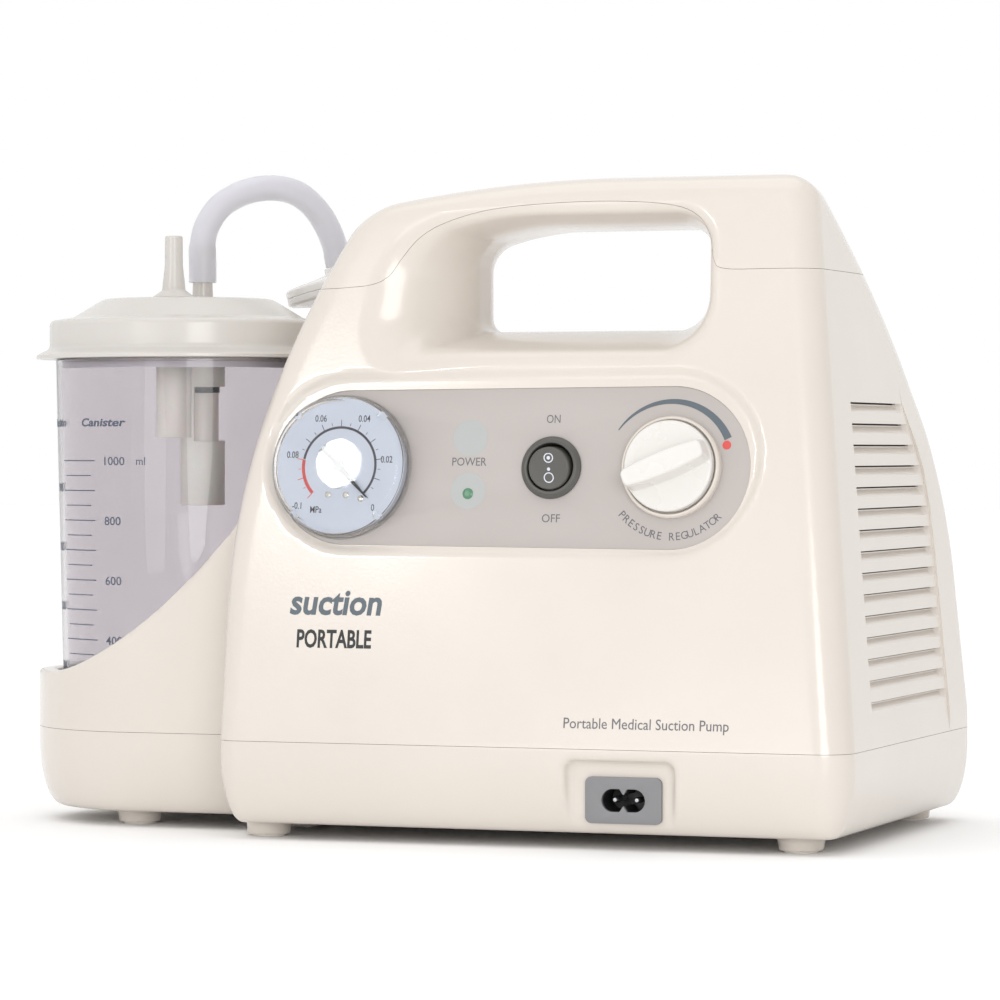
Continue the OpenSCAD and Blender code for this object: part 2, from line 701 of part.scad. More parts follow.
module lid_seal() {
  color(SILICONE) on_can() translate([0, 0, can_rim_z - 4])
    tube(can_r_top - CAN_WALL - 0.35, can_r_top - CAN_WALL - 2, 2.4);
}
PATIENT_TUBE_END = 154;
module patient_tube() {
  color(OFF_WHITE) on_can() translate([0, -port_offset, PATIENT_TUBE_END])
    tube(7.2, 5.4, can_rim_z - PATIENT_TUBE_END);
}
CAGE_END = 126;
CAGE_R = 9.25;
module float_cage() {
  color(OFF_WHITE) on_can() translate([0, port_offset, CAGE_END]) difference() {
    cylinder(r = CAGE_R, h = can_rim_z - CAGE_END, $fn = 48);
    translate([0, 0, 1.6]) cylinder(r = CAGE_R - 1.5, h = 90, $fn = 48);
    translate([0, 0, -1]) cylinder(r = 4.5, h = 9, $fn = 40);
    translate([0, -CAGE_R - 1, 26]) cube([CAGE_R + 4, 2 * CAGE_R + 2, 22]);
  }
}
FLOAT_R = 6.6;
FLOAT_TRAVEL = 10;
FLOAT_TOP = can_rim_z - FLOAT_TRAVEL - 1.4;
module float_body() {
  color([0.95, 0.95, 0.94]) on_can() translate([0, port_offset, CAGE_END + 1.6])
    cylinder(r = FLOAT_R, h = FLOAT_TOP - 4 - CAGE_END - 1.6, $fn = 48);
}
module float_seal() {
  color(RUBBER) on_can() translate([0, port_offset, FLOAT_TOP - 4])
    cylinder(r = FLOAT_R + 0.4, h = 4, $fn = 48);
}

// ---- suction hose and filter ----
// centre line of the hose, from the lid's vacuum port up and over to the filter
HOSE_ROUTE = [
  [can_x, can_y + port_offset, HOSE_START], [-121.5, 8.5, 226], [-121.7, 8.8, 234], [-120.5, 10.2, 242],
  [-116.5, 13.5, 250], [-110.5, 18.5, 255.5], [-103.5, 24.5, 258.5], [-96.5, 30.5, 259],
  [-90, 36, 256.5], [-85, 40.8, 251], [-81.4, 44.8, 244], [-79, 47.8, 236], [-77.4, 49.8, 227]
];
function unit(v) = v / norm(v);
function route_dir(p, i) = let (n = len(p) - 1)
  unit(i == 0 ? [0, 0, 1] : i == n ? FILTER_DOWN : p[i + 1] - p[i - 1]);
module swept(path, r, sides, dirs) {
  loft([
    for (i = [0 : len(path) - 1])
      let (t = dirs[i], u = unit(cross(t, [0.3, -1, 0.02])), v = cross(t, u))
      [for (k = [0 : sides - 1]) let (a = -360 * k / sides) path[i] + r * (cos(a) * u - sin(a) * v)]
  ]);
}
module suction_hose() {
  color(SILICONE) swept(HOSE_ROUTE, hose_d / 2, 12,
    [for (i = [0 : len(HOSE_ROUTE) - 1]) route_dir(HOSE_ROUTE, i)]);
}

// filter frame: z down the filter's own axis, starting where the hose ends
FILTER_TILT = 13;
FILTER_DOWN = [sin(FILTER_TILT), 0.06, -cos(FILTER_TILT)];
HOSE_END = HOSE_ROUTE[len(HOSE_ROUTE) - 1];
FILTER_R = 24.5;
DISC_START = 6;      // the disc's upper face, along the axis
DISC_H = 6.2;
FILTER_LEN = 25;
module on_filter() {
  d = unit(FILTER_DOWN);
  translate(HOSE_END) rotate([0, acos(d[2]), atan2(d[1], d[0])]) children();
}
module filter_top() {
  color(OFF_WHITE) on_filter() difference() {
    union() {
      translate([0, 0, 0.05]) cylinder(r = 6.5, h = 3, $fn = 48);
      translate([0, 0, 2]) cylinder(r1 = 8, r2 = FILTER_R - 1, h = DISC_START - 2, $fn = 72);
      translate([0, 0, DISC_START]) cylinder(r = FILTER_R, h = DISC_H / 2, $fn = 72);
    }
    translate([0, 0, -1]) cylinder(r = 2.4, h = 14, $fn = 32);
    translate([0, 0, 4]) cylinder(r1 = 6, r2 = FILTER_R - 3, h = DISC_START - 3, $fn = 72);
    translate([0, 0, DISC_START + 1]) cylinder(r = FILTER_R - 3, h = 9, $fn = 72);
  }
}
module filter_membrane() {
  color([0.97, 0.97, 0.97]) on_filter() translate([0, 0, DISC_START + DISC_H / 2 - 0.8])
    cylinder(r = FILTER_R - 3.1, h = 1.6, $fn = 72);
}
module filter_base() {
  color(OFF_WHITE) on_filter() difference() {
    union() {
      translate([0, 0, DISC_START + DISC_H / 2]) cylinder(r = FILTER_R, h = DISC_H / 2, $fn = 72);
      translate([0, 0, DISC_START + DISC_H]) cylinder(r1 = FILTER_R - 1, r2 = 6, h = 5, $fn = 72);
      translate([0, 0, DISC_START + DISC_H + 4])
        cylinder(r = 4, h = FILTER_LEN - DISC_START - DISC_H - 4, $fn = 40);
    }
    translate([0, 0, DISC_START]) cylinder(r = FILTER_R - 3, h = DISC_H - 1, $fn = 72);
    translate([0, 0, DISC_START + DISC_H - 1.01]) cylinder(r1 = FILTER_R - 3, r2 = 3, h = 4, $fn = 72);
    translate([0, 0, DISC_START]) cylinder(r = 2.4, h = FILTER_LEN, $fn = 32);
  }
}
// the elbow that carries the suction through the housing's left flank, under the filter
PORT_R = 5;
PORT_Y = 50;
PORT_Z = 181;
PORT_START = HOSE_END + (FILTER_LEN + 0.3) * unit(FILTER_DOWN);
PORT_ROUTE = [
  PORT_START, PORT_START + 5 * unit(FILTER_DOWN), [-69.6, 51.6, 191.5], [-67.5, 51.3, 186.5],
  [-63.5, 50.6, 182.8], [-58, 50.1, 181.2], [-52, PORT_Y, PORT_Z], [-38, PORT_Y, PORT_Z]
];
module suction_port() {
  color(OFF_WHITE) run(PORT_ROUTE, PORT_R, 12);
}

// ---- motor ----
STATOR_X0 = 86;
STATOR_X1 = 120;
STATOR_HALF = 30;
CORE_R = 19.8;
SHAFT_R = 4;
BRACKET_X = [78, 126];
PLATE_TOP = 36;
module on_shaft(x) { translate([x, shaft_y, shaft_z]) rotate([0, 90, 0]) children(); }

module motor_stator() {
  color(GREY) difference() {
    translate([STATOR_X0, shaft_y - STATOR_HALF, shaft_z - STATOR_HALF])
      cube([STATOR_X1 - STATOR_X0, 2 * STATOR_HALF, 2 * STATOR_HALF]);
    on_shaft(STATOR_X0 - 1) cylinder(r = CORE_R + 0.4, h = 60, $fn = 64);
    for (s = [-1, 1]) for (t = [-1, 1])
      on_shaft(STATOR_X0 - 1) translate([s * 26, t * 26, 0]) cylinder(r = 2.2, h = 60, $fn = 24);
  }
}
module motor_coils() {
  color(COPPER) {
    on_shaft(STATOR_X0 - 4.4) tube(28, CORE_R + 1, 4.4);
    on_shaft(STATOR_X1) tube(28, CORE_R + 1, 4.4);
  }
}
module motor_brackets() {
  color(STEEL) for (x = BRACKET_X) difference() {
    union() {
      translate([x, shaft_y - STATOR_HALF, PLATE_TOP]) cube([2, 2 * STATOR_HALF, 76]);
      translate([x < 100 ? x - 10 : x, shaft_y - STATOR_HALF, PLATE_TOP]) cube([12, 2 * STATOR_HALF, 2]);
    }
    on_shaft(x - 1) cylinder(r = 8.05, h = 4, $fn = 48);
    for (a = [0 : 45 : 315])
      on_shaft(x - 1) rotate(a) translate([19, 0, 0]) cylinder(r = 3.5, h = 4, $fn = 24);
  }
}
module motor_bolts() {
  color(STEEL) for (s = [-1, 1]) for (t = [-1, 1])
    on_shaft(BRACKET_X[0] + 2) translate([s * 26, t * 26, 0])
      cylinder(r = 2, h = BRACKET_X[1] - BRACKET_X[0] - 2, $fn = 24);
}
module rotor_core() {
  color(STEEL) on_shaft(STATOR_X0) tube(CORE_R, SHAFT_R, STATOR_X1 - STATOR_X0);
}
SHAFT_X0 = 44;
SHAFT_X1 = 156;
module rotor_shaft() {
  color(STEEL) on_shaft(SHAFT_X0) cylinder(r = SHAFT_R, h = SHAFT_X1 - SHAFT_X0, $fn = 48);
}
module shaft_bearings() {
  color(BRASS) for (x = BRACKET_X) on_shaft(x - 2.5) tube(8, SHAFT_R + 0.05, 7);
}
FAN_X = 138;
FAN_R = 30;
BLADES = 9;
module fan_wheel() {
  color(DARK) on_shaft(FAN_X) difference() {
    union() {
      cylinder(r = 8, h = 14, $fn = 40);
      cylinder(r = FAN_R, h = 1.6, $fn = 64);
      for (a = [0 : 360 / BLADES : 359])
        rotate(a) translate([7, -0.8, 0]) cube([FAN_R - 8, 1.6, 13]);
    }
    translate([0, 0, -1]) cylinder(r = SHAFT_R, h = 20, $fn = 48);
  }
}

// ---- pump ----
CRANK_X = 50;
ECC_R = 9;
module eccentric() {
  color(BRASS) difference() {
    translate([0, 0, throw]) on_shaft(CRANK_X - 4) cylinder(r = ECC_R, h = 8, $fn = 48);
    on_shaft(CRANK_X - 5) cylinder(r = SHAFT_R, h = 10, $fn = 48);
  }
}
ROD_TOP = 119;
module connecting_rod() {
  color(GREY) {
    difference() {
      union() {
        translate([0, 0, throw]) on_shaft(CRANK_X - 3.5) cylinder(r = 13, h = 7, $fn = 48);
        translate([CRANK_X - 3, shaft_y - 4, shaft_z + throw + 11])
          cube([6, 8, ROD_TOP - shaft_z - throw - 11]);
      }
      translate([0, 0, throw]) on_shaft(CRANK_X - 5) cylinder(r = ECC_R + 0.05, h = 10, $fn = 48);
    }
    translate([CRANK_X, shaft_y, ROD_TOP - 1]) cylinder(r = 10, h = 2.5, $fn = 48);
  }
}
CASE_TOP = 117;
module crankcase() {
  color(STEEL) difference() {
    translate([CRANK_X - 11, shaft_y - 30, PLATE_TOP]) cube([22, 60, CASE_TOP - PLATE_TOP]);
    on_shaft(CRANK_X - 20) cylinder(r = 20, h = 40, $fn = 64);
    translate([CRANK_X - 20, shaft_y - 14, shaft_z]) cube([40, 28, CASE_TOP - 4 - shaft_z]);
    translate([CRANK_X, shaft_y, CASE_TOP - 7]) cylinder(r = 14, h = 60, $fn = 48);
    translate([CRANK_X - 20, shaft_y - 22, PLATE_TOP + 4]) cube([40, 44, 18]);
  }
  color(STEEL) difference() {
    translate([CRANK_X, shaft_y, CASE_TOP]) cylinder(r = 27, h = 4, $fn = 64);
    translate([CRANK_X, shaft_y, CASE_TOP - 1]) cylinder(r = 15, h = 8, $fn = 64);
  }
}
module diaphragm() {
  color(RUBBER) translate([CRANK_X, shaft_y, CASE_TOP + 4]) tube(27, 14, 1.8);
}
HEAD_Z = CASE_TOP + 5.8;
module pump_chamber() {
  color(GREY) translate([CRANK_X, shaft_y, HEAD_Z]) tube(27, 19, 7);
}
module valve_plate() {
  color(STEEL) translate([CRANK_X, shaft_y, HEAD_Z + 7]) difference() {
    cylinder(r = 27, h = 2, $fn = 64);
    for (x = [-9, 9]) translate([x, 0, -1]) cylinder(r = 2.5, h = 4, $fn = 24);
  }
}
HEAD_TOP = HEAD_Z + 23;
PORTS_X = [CRANK_X - 11, CRANK_X + 11];
module pump_head() {
  color(GREY) difference() {
    union() {
      translate([CRANK_X, shaft_y, HEAD_Z + 9]) cylinder(r = 27, h = 14, $fn = 64);
      for (x = PORTS_X) translate([x, shaft_y, HEAD_TOP - 1]) cylinder(r = 3, h = 9, $fn = 32);
    }
    for (s = [-1, 1]) translate([CRANK_X + s * 11, shaft_y, HEAD_Z + 8]) cylinder(r = 7, h = 10, $fn = 40);
    for (x = PORTS_X) translate([x, shaft_y, HEAD_Z + 10]) cylinder(r = 1.6, h = 40, $fn = 24);
  }
}
module pump_screws() {
  color(STEEL) for (a = [45 : 90 : 315])
    translate([CRANK_X + 22.5 * cos(a), shaft_y + 22.5 * sin(a), HEAD_TOP]) cylinder(r = 3, h = 2.6, $fn = 24);
}
MOUNTS = [[18, -8], [152, -8], [18, 58], [152, 58]];
module mounting_plate() {
  color(STEEL) difference() {
    translate([6, -18, PLATE_TOP - 2]) cube([158, 86, 2]);
    for (p = MOUNTS) translate([p[0], p[1], 0]) cylinder(r = 4.1, h = 60, $fn = 24);
  }
}
module vibration_mounts() {
  color(RUBBER) for (p = MOUNTS) translate([p[0], p[1], tray_z + FLOOR]) {
    cylinder(r = 8, h = PLATE_TOP - 2 - tray_z - FLOOR, $fn = 32);
    cylinder(r = 4, h = PLATE_TOP + 2 - tray_z - FLOOR, $fn = 32);
  }
}
MUFFLER = [-25, 62];
MUFFLER_TOP = 70;
module exhaust_muffler() {
  color(DARK) translate([MUFFLER[0], MUFFLER[1], tray_z + FLOOR]) {
    cylinder(r = 13, h = MUFFLER_TOP - tray_z - FLOOR, $fn = 48);
    cylinder(r = 3, h = MUFFLER_TOP + 8 - tray_z - FLOOR, $fn = 32);
  }
}

// tubes and wires that the housing holds all the way
function smooth_dir(p, i) = unit(p[min(len(p) - 1, i + 1)] - p[max(0, i - 1)]);
module run(path, r, sides = 8) {
  swept(path, r, sides, [for (i = [0 : len(path) - 1]) smooth_dir(path, i)]);
}
TUBE_R = 3.2;
EXHAUST_RUN = [
  [PORTS_X[0], shaft_y, HEAD_TOP + 8], [PORTS_X[0], shaft_y, 162], [30, 30, 170], [10, 40, 172],
  [-12, 49, 164], [-24, 56, 145], [-26, 61, 115], [MUFFLER[0], MUFFLER[1], MUFFLER_TOP + 8]
];
SUCTION_RUN = [
  [PORTS_X[1], shaft_y, HEAD_TOP + 8], [PORTS_X[1], shaft_y, 162], [64, 12, 170], [71, -12, 167],
  [76, -34, 158], [80, -48, 147], [85, -56, 140.5], [93.5, -57.4, 139.6]
];
GAUGE_RUN = [
  [-20, -47, 126.1], [-20, -40, 124], [-18, -30, 116], [0, -26, 108], [70, -36, 106], [120, -44, 112],
  [138, -50, 124], [140, -56, 135], [129.5, -57.4, 139.6]
];
INTAKE_RUN = [[-37.7, 50, 181], [-33, 50, 181], [-29, 46, 178], [-24, 40, 171], [-22, 20, 150], [-21, -8, 132],
  [-19, -19, 121], [-18, -23.5, 116]];
module air_tubes() {
  color(SILICONE) {
    run(EXHAUST_RUN, TUBE_R);
    run(SUCTION_RUN, TUBE_R);
    run(GAUGE_RUN, TUBE_R);
    run(INTAKE_RUN, TUBE_R);
  }
}
WIRE_R = 1.6;
module mains_wiring() {
  color([0.35, 0.25, 0.2]) {
    run([[92.2, -75.4, 19], [92.2, -68, 20], [90, -60, 26], [82, -52, 44], [74, -48, 70], [70, -47, 100],
         [68.3, -48, 124], [68.3, -52, 134], [68.3, -57.8, 136.8]], WIRE_R);
    run([[100.8, -75.4, 19], [100.8, -68, 20], [103, -56, 26], [108, -40, 34], [109, -30, 42],
         [107, -20, 50], [103, -12, 56], [103, -6.8, 60]], WIRE_R);
  }
}
module housing_screws() {
  color(STEEL) for (x = BOSS_X) for (y = [-BOSS_Y, BOSS_Y]) translate([x, y, tray_z + 1.5]) {
    cylinder(r = SCREW_HEAD_R, h = 2.5, $fn = 24);
    cylinder(r = SCREW_R, h = BOSS_TOP - tray_z - 3, $fn = 24);
  }
}

base_tray();
foot_pads();
front_shell();
rear_shell();
top_cover();
canister_cradle();
control_panel();
gauge_case();
gauge_movement();
gauge_dial();
gauge_screws();
gauge_pointer();
gauge_lens();
power_lamp();
lamp_board();
switch_body();
switch_rocker();
switch_tabs();
regulator_ring();
regulator_knob();
regulator_stem();
regulator_valve();
regulator_nut();
mains_inlet();
inlet_pins();
canister();
canister_lid();
lid_seal();
patient_tube();
float_cage();
float_body();
float_seal();
suction_hose();
filter_top();
filter_base();
filter_membrane();
suction_port();
motor_stator();
motor_coils();
motor_brackets();
motor_bolts();
rotor_core();
rotor_shaft();
shaft_bearings();
fan_wheel();
eccentric();
connecting_rod();
diaphragm();
crankcase();
pump_chamber();
valve_plate();
pump_head();
pump_screws();
mounting_plate();
vibration_mounts();
exhaust_muffler();
air_tubes();
mains_wiring();
housing_screws();
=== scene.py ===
"""Portable suction pump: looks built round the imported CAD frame."""

import math

import bpy
import bmesh
import numpy as np
import openvdb
from mathutils import Matrix, Vector


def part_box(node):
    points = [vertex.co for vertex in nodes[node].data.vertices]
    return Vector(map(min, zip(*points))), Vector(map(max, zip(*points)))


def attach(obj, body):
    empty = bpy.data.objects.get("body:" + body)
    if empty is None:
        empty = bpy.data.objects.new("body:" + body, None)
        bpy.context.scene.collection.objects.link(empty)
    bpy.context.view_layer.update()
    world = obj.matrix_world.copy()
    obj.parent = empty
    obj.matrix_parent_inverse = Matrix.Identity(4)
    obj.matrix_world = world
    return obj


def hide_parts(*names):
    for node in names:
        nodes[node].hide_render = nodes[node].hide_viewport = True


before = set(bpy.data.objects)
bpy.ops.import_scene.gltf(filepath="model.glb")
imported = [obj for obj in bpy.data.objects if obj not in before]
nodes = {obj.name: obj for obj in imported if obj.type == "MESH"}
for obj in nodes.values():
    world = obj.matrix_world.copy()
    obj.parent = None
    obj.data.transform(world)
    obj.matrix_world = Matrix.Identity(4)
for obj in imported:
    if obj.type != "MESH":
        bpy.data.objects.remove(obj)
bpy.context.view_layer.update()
MM = 0.001


def box_mm(node):
    """A CAD node's lowest and highest corners in millimetres."""
    low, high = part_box(node)
    return low / MM, high / MM


# ---- driving dimensions, in millimetres, taken from the frame ----
shell_low, shell_high = box_mm("front_shell")
LEFT_X, RIGHT_X = shell_low.x, shell_high.x
FRONT_Y, SEAM_Z = shell_low.y, shell_low.z
REAR_Y = box_mm("rear_shell")[1].y
TOP_Z = box_mm("top_cover")[1].z
TRAY_Z = 8.0
BELLY_Z = 6.0
WALL = 3.0
can_low, can_high = box_mm("canister")
CAN_X = (can_low.x + can_high.x) / 2
CAN_Y = (can_low.y + can_high.y) / 2
CAN_BASE_Z, CAN_RIM_Z = can_low.z, can_high.z
CAN_R_TOP = (can_high.x - can_low.x) / 2
CAN_R_LOW = CAN_R_TOP - 4
LEAN = math.radians(8)
SIDE_LEAN = math.radians(6)
PANEL_MID_Z = 143.5
PANEL_OUT = -1.6
PANEL_R = 31.0
gauge_low, gauge_high = box_mm("gauge_lens")
GAUGE_X = (gauge_low.x + gauge_high.x) / 2
knob_low, knob_high = box_mm("regulator_ring")
KNOB_X = (knob_low.x + knob_high.x) / 2
PANEL_LEFT, PANEL_RIGHT = GAUGE_X + 2.0, KNOB_X - 0.5     # middles of the panel's two round ends
lamp_low, lamp_high = box_mm("power_lamp")
LAMP_X = (lamp_low.x + lamp_high.x) / 2
switch_low, switch_high = box_mm("switch_body")
SWITCH_X = (switch_low.x + switch_high.x) / 2


# ================= camera =================
CAMERA_AT = (0.6217, -1.6748, 0.150)
CAMERA_TURN = math.radians(20)
LENS_MM = 160.2
SHIFT_Y = -0.05


def make_camera():
    camera = bpy.data.objects.new("camera", bpy.data.cameras.new("camera"))
    bpy.context.scene.collection.objects.link(camera)
    camera.location = CAMERA_AT
    camera.rotation_euler = (math.pi / 2, 0, CAMERA_TURN)
    camera.data.lens = LENS_MM
    camera.data.sensor_width = 36
    camera.data.shift_y = SHIFT_Y
    camera.data.clip_end = 50
    bpy.context.scene.camera = camera


# ================= mesh helpers =================
def new_object(name, mesh, material=None, body="housing"):
    """Links a mesh as a piece of the object that rides on a body."""
    piece = bpy.data.objects.new(name, mesh)
    bpy.context.scene.collection.objects.link(piece)
    if material is not None:
        mesh.materials.clear()
        mesh.materials.append(material)
    if body is not None:
        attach(piece, body)
    return piece


def mesh_from(name, points, faces):
    mesh = bpy.data.meshes.new(name)
    mesh.from_pydata([tuple(float(c) * MM for c in p) for p in points], [], [tuple(f) for f in faces])
    mesh.validate()
    mesh.update()
    return mesh


def tool(mesh):
    """A helper object for a boolean; it isn't kept."""
    piece = bpy.data.objects.new("tool", mesh)
    bpy.context.scene.collection.objects.link(piece)
    return piece


def boolean(mesh, cutter, operation="DIFFERENCE", solver="MANIFOLD"):
    """The mesh cut by another mesh, as a new mesh. Both are closed."""
    a, b = tool(mesh), tool(cutter)
    step = a.modifiers.new("step", "BOOLEAN")
    step.operation = operation
    step.solver = solver
    step.object = b
    bpy.context.view_layer.update()
    result = bpy.data.meshes.new_from_object(a.evaluated_get(bpy.context.evaluated_depsgraph_get()))
    for piece in (a, b):
        bpy.data.objects.remove(piece)
    result.name = mesh.name
    return result


def prism(outline, low, high, axis="z"):
    """Closed solid from a plain outline of (a, b) points, pushed from low to high along an axis."""
    place = {"x": lambda a, b, c: (c, a, b),
             "y": lambda a, b, c: (a, c, b),
             "z": lambda a, b, c: (a, b, c)}[axis]
    n = len(outline)
    points = [place(a, b, low) for a, b in outline] + [place(a, b, high) for a, b in outline]
    faces = [list(range(n)), list(range(2 * n - 1, n - 1, -1))]
    faces += [[i, i + n, (i + 1) % n + n, (i + 1) % n] for i in range(n)]
    return outward(mesh_from("prism", points, faces))


def outward(mesh):
    edit = bmesh.new()
    edit.from_mesh(mesh)
    bmesh.ops.recalc_face_normals(edit, faces=edit.faces)
    edit.to_mesh(mesh)
    edit.free()
    return mesh


def block(low, high):
    base = [(low[0], low[1]), (high[0], low[1]), (high[0], high[1]), (low[0], high[1])]
    return prism(base, low[2], high[2])


def disc_outline(x, y, r, sides=64):
    turns = [math.tau * i / sides for i in range(sides)]
    return [(x + r * math.cos(a), y + r * math.sin(a)) for a in turns]


def shade(mesh, angle=35):
    """Smooth shading with the sharp edges kept."""
    mesh.shade_smooth()
    mesh.set_sharp_from_angle(angle=math.radians(angle))
    return mesh


# ================= rounded solids from a distance field, in millimetres =================
def round_max(a, b, r):
    """The two solids' common part, its convex edge rounded by r."""
    return np.minimum(-r, np.maximum(a, b)) + np.hypot(np.maximum(a + r, 0), np.maximum(b + r, 0))


def round_min(a, b, r):
    """The two solids together, with a fillet of radius r between them."""
    return np.maximum(r, np.minimum(a, b)) - np.hypot(np.maximum(r - a, 0), np.maximum(r - b, 0))


def smooth_step(t):
    t = np.clip(t, 0, 1)
    return t * t * (3 - 2 * t)


def field_mesh(name, field, low, high, voxel):
    """Mesh of field = 0 inside a box: a voxel surface whose points are then put exactly on the field."""
    axes = [np.arange(low[i], high[i] + voxel, voxel) for i in range(3)]
    x, y, z = np.meshgrid(*axes, indexing="ij", sparse=True)
    values = np.clip(field(x, y, z), -3 * voxel, 3 * voxel).astype(np.float32)
    grid = openvdb.FloatGrid(3 * voxel)
    grid.copyFromArray(np.ascontiguousarray(values))
    points, quads = grid.convertToQuads(isovalue=0)
    points = points.astype(float) * voxel + np.array([a[0] for a in axes])
    nudge = 0.02
    for _ in range(4):
        here = field(*points.T)
        ahead = [field(*(points + shift).T) for shift in nudge * np.eye(3)]
        slope = np.stack([(value - here) / nudge for value in ahead], axis=1)
        step = -here[:, None] * slope / np.maximum((slope ** 2).sum(1), 0.2)[:, None]
        length = np.linalg.norm(step, axis=1, keepdims=True)
        points += step * np.minimum(1, 0.5 * voxel / np.maximum(length, 1e-9))
    mesh = bpy.data.meshes.new(name)
    mesh.vertices.add(len(points))
    mesh.vertices.foreach_set("co", (points * MM).astype(np.float32).ravel())
    mesh.loops.add(4 * len(quads))
    mesh.loops.foreach_set("vertex_index", quads.astype(np.int32).ravel())
    mesh.polygons.add(len(quads))
    mesh.polygons.foreach_set("loop_start", np.arange(0, 4 * len(quads), 4, dtype=np.int32))
    mesh.update(calc_edges=True)
    mesh.validate()
    return outward(mesh)


# ---- the housing's own shape ----
BOTTOM_IN, BOTTOM_UP = 9.0, 26.0
CORNER_R, LEFT_CORNER_R = 13.0, 10.0
TOP_R = 9.0
CROWN_X, CROWN_CURVE = 85.0, 0.00095
FLANK_START, FLANK_CURVE = 90.0, 0.0021
REAR_START, REAR_CURVE, REAR_CORNER_R = 100.0, 0.0058, 20.0
LOBE_R = 60.5
POCKET_R = 53.2
SWEEP_LOW, SWEEP_RISE, SWEEP_START, SWEEP_RUN, SWEEP_POWER = 61.0, 52.0, -162.0, 81.0, 1.7


def front_y(z):
    return FRONT_Y + np.maximum(z - SEAM_Z, 0) * math.tan(LEAN)


def left_x(z):
    return LEFT_X + FLANK_CURVE * np.maximum(z - FLANK_START, 0) ** 2


def right_x(z):
    return RIGHT_X - np.maximum(z - SEAM_Z, 0) * math.tan(SIDE_LEAN)


def stadium(x, z):
    """Distance from the control panel's middle line, less its radius, measured on the leaning face."""
    v = (z - PANEL_MID_Z) / math.cos(LEAN)
    narrower = np.clip((PANEL_RIGHT - x) / (PANEL_RIGHT - PANEL_LEFT), 0, 1)
    return np.hypot(x - np.clip(x, PANEL_LEFT, PANEL_RIGHT), v) - PANEL_R + narrower, v


DISH_DEPTH = 1.4


def panel_dish(x, z):
    """How deep the face is sunk round the control panel: a wide slope above it, a narrow one below."""
    d, v = stadium(x, z)
    share = smooth_step(0.5 + v / 50)
    start, end = 0.6 + 3.0 * share, 3.2 + 4.3 * share
    return DISH_DEPTH * (1 - smooth_step((d - start) / (end - start)))


def crown_z(x):
    return TOP_Z - CROWN_CURVE * np.maximum(CROWN_X - x, 0) ** 2


def grip_field(x, y, z):
    """The hand opening: narrow in the middle of the handle's depth and flared to the front and the rear."""
    front = np.clip((-42 - y) / 35, 0, 1.6)
    rear = np.clip((y + 30) / 60, 0, 1.6)
    left = 19 - 27 * front ** 1.5 - 34 * rear ** 1.5
    right = 119.8 + 4.0 * front ** 2 + 8 * rear ** 2
    low = 196 - 8.4 * front ** 1.8 - 6 * rear ** 2
    droop = 0.0045 * np.maximum(55 - x, 0) ** 2 * (1 - 0.4 * front)
    high = 235.4 + 8.4 * front ** 2.2 + 8 * rear ** 2 - droop
    half_x, half_z = (right - left) / 2, (high - low) / 2
    px, pz = x - (left + right) / 2, z - (high + low) / 2
    r_right = np.where(pz > 0, 15 - 1.5 * front, 19 + 1.5 * front)
    r_left = np.where(pz > 0, 9 + 9 * front, 6 + 8 * front)
    r = np.minimum(np.where(px > 0, r_right, r_left), half_z - 1)
    qx, qz = np.abs(px) - half_x + r, np.abs(pz) - half_z + r
    return np.hypot(np.maximum(qx, 0), np.maximum(qz, 0)) + np.minimum(np.maximum(qx, qz), 0) - r


def main_field(x, y, z, proud=0.0):
    """The main housing without its hand opening. The rear moulding's side may stand proud of the front's."""
    front = (front_y(z) + panel_dish(x, z) - y) * math.cos(LEAN)
    step = proud * np.clip((z - SEAM_Z) / 8, 0, 1) * (1 - smooth_step((z - 152) / 24))
    right = (x - right_x(z) - step) * math.cos(SIDE_LEAN)
    slope = 2 * FLANK_CURVE * np.maximum(z - FLANK_START, 0)
    left = (left_x(z) - x) / np.sqrt(1 + slope ** 2)
    above = np.maximum(z - REAR_START, 0)
    rear = (y - REAR_Y + REAR_CURVE * above ** 2) / np.hypot(1, 2 * REAR_CURVE * above)
    right = np.maximum(round_max(front, right, CORNER_R), round_max(rear, right, REAR_CORNER_R))
    left = np.maximum(round_max(front, left, LEFT_CORNER_R), round_max(rear, left, LEFT_CORNER_R))
    sides = np.maximum(right, left)
    shape = round_max(sides / BOTTOM_IN, (BELLY_Z - z) / BOTTOM_UP, 1.0) * BOTTOM_IN
    return round_max(shape, (z - crown_z(x)), TOP_R)


def lobe_field(x, y, z):
    """The round lobe that carries the canister, with its sweeping upper edge."""
    round_end = np.hypot(np.minimum(x - CAN_X, 0), y - CAN_Y) - LOBE_R
    shape = round_max(round_end / BOTTOM_IN, (BELLY_Z - z) / BOTTOM_UP, 1.0) * BOTTOM_IN
    shape = np.maximum(shape, x - (LEFT_X + 22))
    t = np.clip((x - SWEEP_START) / SWEEP_RUN, 0, 1.2)
    sweep = SWEEP_LOW + SWEEP_RISE * t ** SWEEP_POWER
    tilt = SWEEP_RISE * SWEEP_POWER * t ** (SWEEP_POWER - 1) / SWEEP_RUN
    return round_max(shape, (z - sweep) / np.sqrt(1 + tilt ** 2), 1.6)


def housing_field(x, y, z, proud=0.0):
    """The whole moulded outside: housing, lobe, canister pocket and hand opening."""
    both = round_min(main_field(x, y, z, proud), lobe_field(x, y, z), 9.0)
    pocket = np.hypot(x - CAN_X, y - CAN_Y) - POCKET_R
    both = round_max(both, -np.maximum(pocket, SEAM_Z - z), 1.2)
    edge = 3.5 + 6.0 * smooth_step((40 - x) / 45)
    return round_max(both, -grip_field(x, y, z), edge)


